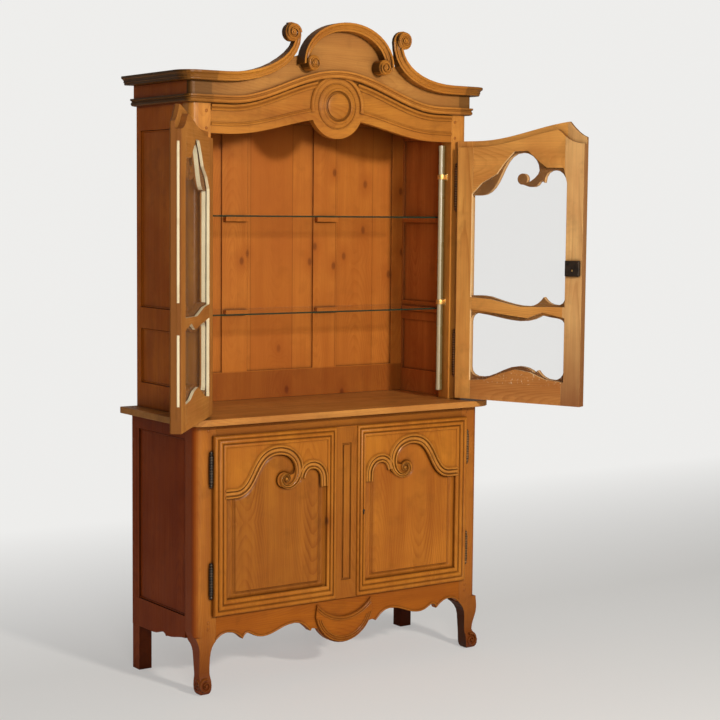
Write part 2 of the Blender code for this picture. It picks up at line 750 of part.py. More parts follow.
def door_pieces():
    """The left frame parted into hinge stile, meeting stile and three rails, with the hinges' mortises."""
    hinge_joint, meet_joint = across(0.084), across(0.470)
    high, low = up(0.55), up(0.22)
    rail = (hinge_joint + GAP, meet_joint - GAP)
    limits = {
        "hinge_stile": ((-1, hinge_joint), (0, 3)),
        "meeting_stile": ((meet_joint, 1), (0, 3)),
        "top_rail": (rail, (high, 3)),
        "mid_rail": (rail, (low, high)),
        "bottom_rail": (rail, (0, low)),
    }
    whole = door_frame()
    made = {}
    for piece, (x, z) in limits.items():
        item = bpy.data.objects.new(piece, whole.data.copy())
        PARTS.objects.link(item)
        shape(item, box("part_" + piece, x, (-1, 1), z), "INTERSECT")
        if piece == "hinge_stile":
            for middle in hinge_heights():
                edge_slot(item, CAB_LIP, axis_y(FRONT), *leaf_span(middle, HINGE_LONG, True), -1)
        made[piece] = bake(item)
    bpy.data.objects.remove(whole)
    return made


def glazed_door(side, word, angle, pieces):
    """Cabinet door from the parted frame (mirrored on the right), its panes and its hinges."""
    at = (side * (CAB_LIP + BARREL_TO_LIP), axis_y(FRONT))
    axis = pivot("door_" + word + "_axis", *at, angle)
    name = "door_" + word
    for piece, master in pieces.items():
        item = mirrored(master, name + "_" + piece)
        if side < 0:
            item.data.transform(Matrix.Diagonal((-1, 1, 1, 1)))
            item.data.flip_normals()
        dress(hang(item, axis, at), PINE_PALE)
    x, *heights = pane_limits()
    if side > 0:
        x = (-x[1], -x[0])
    for word_z, z in zip(("upper", "lower"), heights):
        pane = box(name + "_pane_" + word_z, x, (PANE_Y + GAP, PANE_Y + GAP + PANE), z)
        dress(hang(pane, axis, at), GLASS, 0.05)
    for number, middle in enumerate(hinge_heights()):
        hinge("hinge_%s_%d" % (word, number + 1), side, at, FRONT, middle, HINGE_LONG, axis)
    if side > 0:
        rim_lock(axis, at)


def glazed_doors():
    """Both cabinet doors, standing open at rest."""
    pieces = door_pieces()
    glazed_door(-1, "left", -LEFT_OPEN, pieces)
    glazed_door(1, "right", RIGHT_OPEN, pieces)
    for master in pieces.values():
        bpy.data.objects.remove(master)


def rim_lock(axis, at):
    """Square iron lock on the inside of the right door's meeting stile."""
    x = MEETING + 0.006
    y = FRONT + DOOR_BACK + GAP
    z = DOOR_FOOT + 0.482
    case = box("rim_lock", (x, x + LOCK_SIDE), (y, y + LOCK_DEEP), (z, z + LOCK_SIDE))
    dress(hang(soften(case, 0.0025), axis, at), IRON, 0.4, 0.9)


# Hinges


def low_hinge_heights():
    """Middles of a base door's two hinges."""
    return LOW_DOOR_BOTTOM + 0.127, LOW_DOOR_TOP - 0.118


def hinge_heights():
    """Middles of a glazed door's two hinges."""
    return up(0.172), up(0.809)


def leaf_span(middle, length, on_door):
    """Height of a leaf's mortise: the door's leaf is above the middle of the hinge, the post's below."""
    reach = length / 2 - 0.022
    if on_door:
        return middle + 0.006 - GAP, middle + reach + GAP
    return middle - reach - GAP, middle - 0.006 + GAP


def hinge(name, side, at, face, middle, length, axis):
    """Barrel hinge: the post half carries the pin, the door half turns on it, each has a finial."""
    end = length / 2
    neck, ball = end - 0.019, end - 0.009
    post = [(0, 0.042), (PIN_R, 0.042), (PIN_R, -0.0005), (BARREL_R, -0.0005), (BARREL_R, -neck),
            (0.0042, -neck - 0.003),
            (0.0062, -ball), (0.0042, -ball - 0.005), (0.0, -end)]
    door = [(0, end), (0.0042, ball + 0.005), (0.0062, ball), (0.0042, neck + 0.003), (BARREL_R, neck),
            (BARREL_R, 0.0005), (BORE_R, 0.0005), (BORE_R, 0.044), (0, 0.044)]
    lower = turned(name + "_post_half", post)
    upper = turned(name + "_door_half", door)
    half = LEAF / 2
    low, high = leaf_span(0, length, False)
    leaf = box("leaf", (-half, half), (PIN_R, face - at[1] + LEAF_DEEP - GAP * 2),
               (low + GAP * 2, high - GAP * 2))
    shape(lower, leaf, "UNION")
    low, high = leaf_span(0, length, True)
    reach = sorted((-side * (BORE_R + 0.0012), -side * (LEAF_DEEP - GAP * 2)))
    leaf = box("leaf", reach, (-half, half), (low + GAP * 2, high - GAP * 2))
    shape(upper, leaf, "UNION")
    lower, upper = bake(lower), bake(upper)
    for item in (lower, upper):
        item.data.transform(Matrix.Translation((0, 0, middle)))
        item.data.shade_smooth()
        item.data.set_sharp_from_angle(angle=math.radians(35))
    lower.data.transform(Matrix.Translation((at[0], at[1], 0)))
    dress(lower, IRON, 0.4, 0.9)
    upper.parent = axis
    dress(upper, IRON, 0.4, 0.9)


# Cabinet


def cabinet_posts():
    """Front posts with a rounded outer corner."""
    r = POST_ROUND
    back = FRONT + CABINET_POST_DEPTH
    pen = Pen(OPENING, back).line(OPENING, FRONT)
    pen.arc((CAB_HALF - r, FRONT + r), r, -90, 90, 8).line(CAB_HALF, back)
    post = board("cabinet_post_right", [pen.points], FOOT, POST_Z, TOP_VIEW)
    for middle in hinge_heights():
        leaf_slot(post, CAB_LIP + BARREL_TO_LIP, FRONT, *leaf_span(middle, HINGE_LONG, False))
    post = bake(post)
    dress(post, PINE)
    dress(mirrored(post, "cabinet_post_left"), PINE)


def ledge_tops():
    """Heights of the shelf ledges' upper faces."""
    return [BASE_HEIGHT + shelf - SHELF_THICK - GAP for shelf in (SHELF_LOW, SHELF_HIGH)]


def cabinet_sides():
    """Panelled sides with shelf ledges inside and the frieze band on top."""
    begin = FRONT + CABINET_POST_DEPTH + GAP
    inner = CAB_HALF - BOARD
    end = BASE_DEPTH
    side = box("cabinet_side_right", (inner, CAB_HALF), (begin, end), (FOOT, CORNICE_Z - GAP))
    y = (begin + 0.045, end - 0.032)
    for z in ((0.090, 0.290), (0.366, 1.005)):
        z = (BASE_HEIGHT + z[0], BASE_HEIGHT + z[1])
        recess(side, inner, CAB_HALF, y, z)
    band = box("band", (inner + 0.001, BAND_HALF), (PEDIMENT_Y + PEDIMENT_THICK + GAP, end - 0.001),
               (POST_Z + GAP, CORNICE_Z - GAP * 2))
    shape(side, band, "UNION")
    for top in ledge_tops():
        ledge = box("ledge", (inner - 0.014, inner + 0.003), (SHELF_FRONT + 0.02, BACK_Y - 0.024),
                    (top - 0.018, top))
        shape(side, ledge, "UNION")
    side = bake(side)
    dress(side, PINE_DARK)
    dress(mirrored(side, "cabinet_side_left"), PINE_DARK)


def cabinet_back():
    """Framed back: stiles, two muntins and rails stand proud of three panels and carry the shelf ledges."""
    half = CAB_HALF - BOARD - GAP
    muntin, wide, stile = 0.206, 0.055, 0.052
    foot, top = FOOT, CORNICE_Z - 0.022
    back = box("cabinet_back", (-half, half), (BACK_Y, BACK_Y + 0.020), (foot, top))
    bays = ((-half + stile, -muntin - wide), (-muntin + wide, muntin - wide), (muntin + wide, half - stile))
    for bay in bays:
        field = box("field", bay, (BACK_Y - 0.01, BACK_Y + 0.007), (BASE_HEIGHT + 0.108, top - 0.090))
        shape(back, field)
    for x in (-muntin, muntin):
        for high in ledge_tops():
            ledge = box("ledge", (x - 0.049, x + 0.049), (BACK_Y - 0.020, BACK_Y + 0.003),
                        (high - 0.018, high))
            shape(back, ledge, "UNION")
    dress(bake(back), PINE)


def cabinet_roof():
    """Dust board that closes the cabinet's top."""
    half = CAB_HALF - BOARD - GAP
    roof = box("cabinet_roof", (-half, half), (FRONT + BOARD + 0.003, BASE_DEPTH - 0.004),
               (CORNICE_Z - 0.020, CORNICE_Z - GAP))
    dress(roof, PINE_DARK, 0.7)


def front_rail():
    """Serpentine front rail with its round lobe and turned medallion."""
    span = OPENING - GAP
    meet = notch()
    angle = math.degrees(math.acos(meet / BUMP_RADIUS))
    lower = swell_line(EDGE_Z, SWELL_EDGE, -span, -meet, 14)
    lower += Pen(0, 0).arc((0, MEDAL_Z), BUMP_RADIUS, 180 + angle, 180 - 2 * angle, 16).points[2:-1]
    lower += swell_line(EDGE_Z, SWELL_EDGE, meet, span, 14)
    upper = swell_line(POST_Z, SWELL_CROWN, span, -span, 30)
    rail = board("front_rail", [lower + upper], FRONT, FRONT + BOARD)
    r = MEDALLION_RADIUS
    rings = [(0, 0.0075), (0.4 * r, 0.0065), (0.62 * r, 0.003), (0.66 * r, 0.001), (0.71 * r, 0.007),
             (0.78 * r, 0.009),
             (0.84 * r, 0.006), (0.90 * r, 0.006), (r, 0.002), (r, -0.012), (0, -0.012)]
    medallion = turned("medallion", rings, 28)
    medallion.data.transform(Matrix.Translation((0, FRONT, MEDAL_Z)) @ Matrix.Rotation(math.pi / 2, 4, "X"))
    shape(rail, medallion, "UNION")
    dress(bake(rail), PINE)


def neck_curve(eye, steps=10):
    """Left swan neck's lower line: level from the corner, then up to the outer scroll at the eye."""
    top = BASE_HEIGHT + SCROLL_Z - 0.018
    right = -eye + SCROLL_CURL
    pen = Pen(-0.500, CORNICE_Z)
    pen.curve((-0.340, CORNICE_Z), (right, CORNICE_Z + 0.068), (right, top), steps)
    return pen.points


def pediment():
    """Pediment board: serpentine foot, and a top that follows the swan necks and the arch."""
    corner = PEDIMENT_THICK - 0.002
    foot = swell_line(POST_Z + GAP, SWELL_CROWN, -BAND_HALF, BAND_HALF, 38)
    rise = CORNICE_HIGH * 0.5
    arch_z = BASE_HEIGHT + ARCH_FOOT
    half, high = ARCH_HALF + ARCH_BAND / 2, ARCH_RISE + ARCH_BAND / 2
    arch = []
    for step in range(13):
        angle = math.radians(168 - 156 * step / 12)
        arch.append((CREST_SHIFT + half * math.cos(angle), arch_z + high * math.sin(angle)))
    ends = [(-BAND_HALF, CORNICE_Z - GAP * 2), (-0.56, CORNICE_Z - GAP * 2), (-0.54, CORNICE_Z + rise)]
    left, right = [], []
    for side, eye in ((left, SCROLL_X - CREST_SHIFT), (right, SCROLL_X + CREST_SHIFT)):
        side += ends
        side += [(x, z + rise) for x, z in neck_curve(eye) if z < CORNICE_Z + 0.080]
    outline = foot + [(-x, z) for x, z in right] + list(reversed(arch)) + list(reversed(left))
    item = board("pediment", [outline], PEDIMENT_Y, PEDIMENT_Y + PEDIMENT_THICK)
    waste = corner_tool("cheek_right", BAND_HALF, PEDIMENT_Y, POST_Z - 0.01, CORNICE_Z + 0.01, corner)
    shape(item, mirrored(waste, "cheek_left"))
    shape(item, waste)
    dress(bake(item), PINE)


def corner_path(height, steps=8):
    """Left side and rounded front corner of the frieze band, at one height."""
    r = PEDIMENT_THICK - 0.002
    path = [(-BAND_HALF, BASE_DEPTH, height)]
    for step in range(steps + 1):
        angle = math.radians(180 + 90 * step / steps)
        path.append((-BAND_HALF + r + r * math.cos(angle), PEDIMENT_Y + r + r * math.sin(angle), height))
    return path


def crown():
    """Moulding over the joint of front rail and pediment, round both sides."""
    g = GAP * 2
    profile = [(g, 0.001), (0.006, 0.001), (0.011, 0.005), (0.012, 0.011), (0.008, 0.015), (0.008, 0.018),
               (0.014, 0.021), (0.014, 0.027), (g, 0.028)]
    low = POST_Z + GAP
    left = corner_path(low)
    wave = swell_line(low, SWELL_CROWN, -SWELL_HALF - 0.04, SWELL_HALF + 0.04, 30)
    front = [(x, PEDIMENT_Y, z) for x, z in wave]
    right = [(-x, y, z) for x, y, z in reversed(left)]
    dress(moulding("crown_moulding", profile, left + front + right), PINE)


def cornice_profile(high):
    """Section of the cornice: deep soffit, bead, ogee and square top edge."""
    g, out = GAP * 3, CORNICE_OUT
    return [(g, 0.0), (out - 0.014, 0.0), (out - 0.012, 0.003), (out - 0.012, 0.007), (out - 0.009, 0.009),
            (out - 0.010, high * 0.45), (out - 0.006, high * 0.62), (out - 0.002, high * 0.70),
            (out, high * 0.76),
            (out, high - 0.001), (out - 0.002, high), (g, high)]


def scroll_disc(name, x, z, radius):
    """Round end of a scroll, stepped towards its eye."""
    deep = CORNICE_OUT
    r = radius
    rings = [(0, deep + 0.006), (0.30 * r, deep + 0.005), (0.36 * r, deep + 0.001), (0.52 * r, deep + 0.002),
             (0.60 * r, deep + 0.004), (0.80 * r, deep + 0.003), (r, deep - 0.003), (r, 0.001), (0, 0.001)]
    disc = turned(name, rings, 20)
    disc.data.transform(Matrix.Translation((x, PEDIMENT_Y, z)) @ Matrix.Rotation(math.pi / 2, 4, "X"))
    return disc


def cornice(name, eye):
    """Cornice of the left side: from the back round the corner, up the swan neck and into the outer scroll.

    Above the pediment board the neck stands free, so its back is cut away.
    """
    path = corner_path(CORNICE_Z)
    path += [(x, PEDIMENT_Y, z) for x, z in neck_curve(eye)]
    centre = (-eye, BASE_HEIGHT + SCROLL_Z - 0.018)
    curl = Pen(0, 0).arc(centre, SCROLL_CURL, 0, 110, 6).points[2:]
    path += [(x, PEDIMENT_Y, z) for x, z in curl]
    item = moulding(name, cornice_profile(CORNICE_HIGH), path)
    shape(item, scroll_disc("scroll", -eye, BASE_HEIGHT + SCROLL_Z - 0.012, SCROLL_R), "UNION")
    free = PEDIMENT_Y - CORNICE_OUT * 0.45
    low, high = CORNICE_Z + 0.085, CORNICE_Z + 0.5
    behind = PEDIMENT_Y + 0.01
    wedge = [(behind, low), (PEDIMENT_Y, low), (free, low + 0.055), (free, high), (behind, high)]
    shape(item, board("neck_back", [wedge], -eye - 0.2, 0.0, SIDE_VIEW))
    return bake(item)


def cornices():
    """Both cornices; the crest's shift makes the right swan neck the shorter one."""
    dress(cornice("cornice_left", SCROLL_X - CREST_SHIFT), PINE)
    right = cornice("cornice_right_blank", SCROLL_X + CREST_SHIFT)
    dress(mirrored(right, "cornice_right"), PINE)
    bpy.data.objects.remove(right)


def arch():
    """Arched crest moulding with a scroll at each foot."""
    foot = BASE_HEIGHT + ARCH_FOOT
    path = []
    for step in range(25):
        angle = math.radians(180 - 180 * step / 24)
        x = CREST_SHIFT + ARCH_HALF * math.cos(angle)
        path.append((x, PEDIMENT_Y, foot + ARCH_RISE * math.sin(angle)))
    path.insert(0, (CREST_SHIFT - ARCH_HALF, PEDIMENT_Y, foot - 0.006))
    path.append((CREST_SHIFT + ARCH_HALF, PEDIMENT_Y, foot - 0.006))
    item = moulding("crest_arch", cornice_profile(ARCH_BAND), path, -90)
    for side in (-1, 1):
        x = CREST_SHIFT + side * INNER_SCROLL_X
        shape(item, scroll_disc("scroll", x, foot - 0.002, INNER_SCROLL_R), "UNION")
    dress(bake(item), PINE)


def shelves():
    """Two loose glass shelves on the ledges."""
    half = CAB_HALF - BOARD - 0.003
    for word, shelf in (("low", SHELF_LOW), ("high", SHELF_HIGH)):
        top = BASE_HEIGHT + shelf
        plate = box("shelf_" + word, (-half, half), (SHELF_FRONT, BACK_Y - 0.002), (top - SHELF_THICK, top))
        dress(plate, GLASS, 0.05)


def light_tube():
    """Light tube with end caps, standing against the inside of the right post."""
    r, low, high = TUBE_R, DOOR_FOOT + 0.025, EDGE_Z - 0.012
    profile = [(0, high), (r, high), (r, high - 0.022), (r - 0.001, high - 0.022), (r - 0.001, low + 0.022),
               (r, low + 0.022), (r, low), (0, low)]
    tube = turned("light_tube", profile, 16)
    tube.data.transform(Matrix.Translation((OPENING - GAP - r, FRONT + 0.042, 0)))
    tube.data.shade_smooth()
    tube.data.set_sharp_from_angle(angle=math.radians(40))
    dress(tube, WHITE, 0.3)


def stand():
    """Hang all on one root and move it so that the box's bottom centre is the origin."""
    root = bpy.data.objects.new("buffet", None)
    PARTS.objects.link(root)
    for item in list(PARTS.objects):
        if item.parent is None and item is not root:
            item.parent = root
    bpy.context.view_layer.update()
    graph = bpy.context.evaluated_depsgraph_get()
    low, high = [math.inf] * 3, [-math.inf] * 3
    for item in PARTS.objects:
        if item.type != "MESH":
            continue
        mesh = item.evaluated_get(graph).data
        for vertex in mesh.vertices:
            place = item.matrix_world @ vertex.co
            low = [min(a, b) for a, b in zip(low, place)]
            high = [max(a, b) for a, b in zip(high, place)]
    root.location = (-(low[0] + high[0]) / 2, -(low[1] + high[1]) / 2, -low[2])
    bpy.context.view_layer.update()


def build():
    """Make every piece."""
    base_top()
    base_posts()
    base_sides()
    base_apron()
    base_rails()
    low_doors()
    cabinet_posts()
    cabinet_sides()
    cabinet_back()
    cabinet_roof()
    front_rail()
    pediment()
    crown()
    cornices()
    arch()
    shelves()
    light_tube()
    glazed_doors()
    stand()


build()
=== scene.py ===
"""Looks of a two-part country buffet: waxed pine, carved mouldings, iron, glass, and a plain studio."""
import math

import bpy
import numpy as np
from mathutils import Matrix, Vector


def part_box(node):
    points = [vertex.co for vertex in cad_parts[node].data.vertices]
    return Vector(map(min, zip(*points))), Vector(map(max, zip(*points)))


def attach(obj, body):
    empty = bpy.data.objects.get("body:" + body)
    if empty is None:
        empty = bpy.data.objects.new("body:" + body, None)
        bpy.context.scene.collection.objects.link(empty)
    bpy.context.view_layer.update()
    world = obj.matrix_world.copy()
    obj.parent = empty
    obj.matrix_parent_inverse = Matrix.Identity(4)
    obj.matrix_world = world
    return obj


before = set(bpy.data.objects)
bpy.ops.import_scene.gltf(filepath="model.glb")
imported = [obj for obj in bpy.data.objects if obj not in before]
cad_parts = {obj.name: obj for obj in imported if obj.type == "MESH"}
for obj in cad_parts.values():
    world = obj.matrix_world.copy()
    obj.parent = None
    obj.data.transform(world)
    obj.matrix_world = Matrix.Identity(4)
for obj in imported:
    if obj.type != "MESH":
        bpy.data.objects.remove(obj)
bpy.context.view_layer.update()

bl_info = {
    "name": "Two-part buffet",
    "version": (1, 0, 0),
    "blender": (4, 5, 0),
    "location": "View3D > Sidebar > Buffet",
    "description": "Finishes and carved mouldings of a glazed buffet in waxed pine",
    "category": "Object",
}

# Places read from the solids: the middle of the buffet, the front of its base and of its cabinet. The
# pieces are drawn about that middle and from the base's front, in metres.
TOP_LOW, TOP_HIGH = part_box("base_top")
MIDDLE_X = (TOP_LOW.x + TOP_HIGH.x) / 2
FRONT_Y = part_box("base_top_rail")[0].y
CABINET_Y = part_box("cabinet_post_right")[0].y - FRONT_Y
TOP_Z = TOP_HIGH.z
SIDES = (("left", -1), ("right", 1))

# Glazed doors: how far they stand open, their hinge line in plan, and their two faces when shut.
LEFT_SWING = math.radians(-131.0)
RIGHT_SWING = math.radians(112.0)
HINGE_X = 0.552
HINGE_Y = 0.0597
GLAZED_OUTER = CABINET_Y - 0.0143
GLAZED_INNER = CABINET_Y + 0.0343

# Base: half width, faces of its doors and panels, the doors' edges and the sight edges of their panels.
BASE_HALF = 0.629
DOOR_FACE = -0.0143
PANEL_FACE = -0.0050
DOOR_LOW, DOOR_HIGH = 0.277, 0.917
DOOR_OUT, DOOR_MEET = 0.562, 0.0458
SIGHT_OUT, SIGHT_IN, SIGHT_MEET, SIGHT_LOW = 0.510, 0.110, 0.0862, 0.332
SCROLL_LOW = DOOR_LOW + 0.648 * (DOOR_HIGH - DOOR_LOW)
SCROLL_RISE = 0.222 * (DOOR_HIGH - DOOR_LOW)
SCROLL_EYE = (-0.2645, 0.7435)
HUMP_END = 0.704

# Crest: half width of the serpentine, medallion, top edge of the glazed doors, and the arch's place.
SWELL_HALF = 0.460
MEDAL_Z = TOP_Z + 1.102
EDGE_Z = TOP_Z + 0.988
CREST_SHIFT = 0.016

# Sides: how far the faces of their sunk panels stand from the middle.
CABINET_PANEL = 0.600
BASE_PANEL = BASE_HALF - 0.0083

SUNK = -0.001  # how deep the foot of a carved profile lies in the timber that carries it


# ---------------------------------------------------------------- faces that carry pieces

def on_front(depth):
    """Face towards the viewer: across runs along X, up along Z, and height comes forward of the depth."""
    def lay(across, up, height):
        return np.stack(np.broadcast_arrays(MIDDLE_X + across, FRONT_Y + depth - height, up), -1)
    return lay


def on_side(sign, reach):
    """Outer face of a side: across runs along Y, up along Z, and height goes outwards from the reach."""
    def lay(across, up, height):
        return np.stack(np.broadcast_arrays(MIDDLE_X + sign * (reach + height), FRONT_Y + across, up), -1)
    return lay


def on_top(level):
    """Level face: across runs along X, up along Y, and height goes up from the level."""
    def lay(across, up, height):
        return np.stack(np.broadcast_arrays(MIDDLE_X + across, FRONT_Y + up, level + height), -1)
    return lay


def on_door(sign, depth, outward=1.0):
    """Face of an open glazed door, drawn as if shut: turned about its hinge to where the door stands.

    Outward 1 is the outer face, -1 the inner one.
    """
    angle = LEFT_SWING if sign < 0 else RIGHT_SWING
    cosine, sine = math.cos(angle), math.sin(angle)

    def lay(across, up, height):
        x = across - sign * HINGE_X
        y = depth - outward * height - HINGE_Y
        turned_x = sign * HINGE_X + x * cosine - y * sine
        turned_y = HINGE_Y + x * sine + y * cosine
        return np.stack(np.broadcast_arrays(MIDDLE_X + turned_x, FRONT_Y + turned_y, up), -1)
    return lay


# ---------------------------------------------------------------- surfaces on a grid

def skin(grid, ring=False):
    """Closed surface over a grid of points: each row is a closed outline, and neighbouring rows are joined.

    A ring joins its last row to its first; otherwise the first and last outlines are filled.
    """
    rows, columns = grid.shape[:2]
    index = np.arange(rows * columns).reshape(rows, columns)
    if ring:
        index = np.vstack([index, index[:1]])
    near, far = index[:-1], index[1:]
    quads = np.stack([near, np.roll(near, -1, 1), np.roll(far, -1, 1), far], -1).reshape(-1, 4)
    caps = [] if ring else [index[0][::-1], index[-1]]
    return grid.reshape(-1, 3), quads, caps


def relief(across, up, height, lay, back):
    """Carved panel: a height over a rectangular grid, closed by its four edges and a flat back."""
    rows, columns = height.shape
    front = lay(across, up, height).reshape(-1, 3)
    index = np.arange(rows * columns).reshape(rows, columns)
    quads = np.stack([index[:-1, :-1], index[:-1, 1:], index[1:, 1:], index[1:, :-1]], -1).reshape(-1, 4)
    rim = np.concatenate([index[0, :-1], index[:-1, -1], index[-1, :0:-1], index[:0:-1, 0]])
    behind = lay(across.ravel()[rim], up.ravel()[rim], np.full(len(rim), back))
    low = len(front) + np.arange(len(rim))
    wall = np.stack([np.roll(rim, -1), rim, low, np.roll(low, -1)], -1)
    return np.concatenate([front, behind]), np.concatenate([quads, wall]), [low[::-1]]


def outward(shape):
    """The same shape with its faces turned out: the sum of its signed tetrahedra is made positive."""
    points, quads, caps = shape
    a, b, c, d = (points[quads[:, k]] for k in range(4))
    volume = np.einsum("ij,ij->", a, np.cross(b, c)) + np.einsum("ij,ij->", a, np.cross(c, d))
    for cap in caps:
        corner = points[cap]
        volume += np.einsum("j,ij->", corner[0], np.cross(corner[1:-1], corner[2:]))
    if volume < 0:
        return points, quads[:, ::-1], [cap[::-1] for cap in caps]
    return shape


def make_piece(name, shapes, material, body, smooth=40.0):
    """One object from one or more closed shapes, riding on its body."""
    points, faces, start = [], [], 0
    for shape in shapes:
        place, quads, caps = outward(shape)
        points.append(place)
        faces += (quads + start).tolist() + [(cap + start).tolist() for cap in caps]
        start += len(place)
    mesh = bpy.data.meshes.new(name)
    mesh.from_pydata(np.concatenate(points).tolist(), [], faces)
    mesh.materials.append(material)
    mesh.shade_smooth()
    mesh.set_sharp_from_angle(angle=math.radians(smooth))
    piece = bpy.data.objects.new(name, mesh)
    bpy.context.scene.collection.objects.link(piece)
    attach(piece, body)
    return piece


def even(path, step):
    """Path with its points spread evenly along its length."""
    path = np.asarray(path, float)
    run = np.concatenate([[0], np.cumsum(np.linalg.norm(np.diff(path, axis=0), axis=1))])
    where = np.linspace(0, run[-1], max(2, int(round(run[-1] / step)) + 1))
    return np.stack([np.interp(where, run, path[:, k]) for k in (0, 1)], -1)


def cubic(first, second, third, fourth, steps=16):
    """Points of a cubic stroke: the four places weighted by the Bernstein polynomials."""
    t = np.linspace(0, 1, steps)[:, None]
    weights = np.hstack([(1 - t) ** 3, 3 * t * (1 - t) ** 2, 3 * t * t * (1 - t), t ** 3])
    return weights @ np.array([first, second, third, fourth], float)


def round_stroke(centre, radius, begin, end, steps):
    """Points of a circle's arc between two angles in degrees."""
    angle = np.radians(np.linspace(begin, end, steps))
    return np.stack([centre[0] + radius * np.cos(angle), centre[1] + radius * np.sin(angle)], -1)


def mitres(path, closed):
    """Sideways vector at each path point: its two normals summed, and scaled to keep the width."""
    ahead = np.roll(path, -1, 0) - path
    ahead = ahead / np.maximum(np.linalg.norm(ahead, axis=1, keepdims=True), 1e-9)
    if not closed:
        ahead[-1] = ahead[-2]
    behind = np.roll(ahead, 1, 0)
    if not closed:
        behind[0] = ahead[0]
    after = np.stack([-ahead[:, 1], ahead[:, 0]], -1)
    before = np.stack([-behind[:, 1], behind[:, 0]], -1)
    spread = 1 + np.einsum("ij,ij->i", after, before)
    return (after + before) / np.maximum(spread, 0.4)[:, None]


def carried(path, profile, lay, closed=False, width=None):
    """Profile of (sideways, height) carried along a path with mitred corners; width scales it sideways."""
    path = np.asarray(path, float)
    profile = np.asarray(profile, float)
    width = np.ones(len(path)) if width is None else width
    aside = profile[:, 0][None, :] * width[:, None]
    spread = path[:, None, :] + mitres(path, closed)[:, None, :] * aside[..., None]
    return skin(lay(spread[..., 0], spread[..., 1], profile[:, 1][None, :]), closed)


def mirror(path):
    """Path on the other side of the middle line, run the other way so that its sideways hand is kept."""
    return (np.asarray(path) * np.array([-1.0, 1.0]))[::-1]


def paired(path, profile, lay):
    """The same profile carried along a path and along its mirror image."""
    return [carried(way, profile, lay) for way in (path, mirror(path))]


def ringed(centre, radius, profile, lay, steps):
    """Profile carried round a full circle."""
    return carried(round_stroke(centre, radius, 0, 360, steps + 1)[:-1], profile, lay, closed=True)


def spun(centre, profile, lay, sides):
    """Turned boss on a face: rings of (radius, height) about a centre."""
    angle = np.linspace(0, 2 * math.pi, sides, endpoint=False)
    radius, height = np.hsplit(np.asarray(profile, float), 2)
    return skin(lay(centre[0] + radius * np.cos(angle), centre[1] + radius * np.sin(angle), height))


def fielded(limits, steps, lay, widths=None):
    """Raised rectangular field: the rectangle drawn in by each step's inset and lifted by its height.

    Given the widths of its four borders, left, right, low and high, the insets are shares of them, and the
    steps close to a moulding round the rectangle.
    """
    left, right, low, high = limits
    inset, height = np.hsplit(np.asarray(steps, float), 2)
    west, east, south, north = (inset * width for width in widths or (1.0, 1.0, 1.0, 1.0))
    across = np.hstack([left + west, right - east, right - east, left + west])
    up = np.hstack([low + south, low + south, high - north, high - north])
    return skin(lay(across, up, height), ring=widths is not None)


def edge_distance(points, outline):
    """Distance from each point to a closed outline, and whether the point lies inside it.

    The distance is the least one to all straight pieces; inside means an odd count of crossings to the right.
    """
    begin, end = outline, np.roll(outline, -1, 0)
    run = end - begin
    offset = points[:, None, :] - begin[None]
    share = np.clip(np.einsum("pks,ks->pk", offset, run) / np.maximum((run ** 2).sum(1), 1e-12), 0, 1)
    gap = offset - share[..., None] * run[None]
    nearest = np.sqrt((gap ** 2).sum(-1)).min(1)
    above = (begin[None, :, 1] > points[:, None, 1]) != (end[None, :, 1] > points[:, None, 1])
    rise = np.where(np.abs(run[:, 1]) < 1e-12, 1e-12, run[:, 1])
    cross = begin[None, :, 0] + (points[:, None, 1] - begin[None, :, 1]) / rise[None] * run[None, :, 0]
    inside = (above & (points[:, None, 0] < cross)).sum(1) % 2 == 1
    return nearest, inside


# ---------------------------------------------------------------- finishes

AXES = {"X": 0, "Y": 1, "Z": 2}


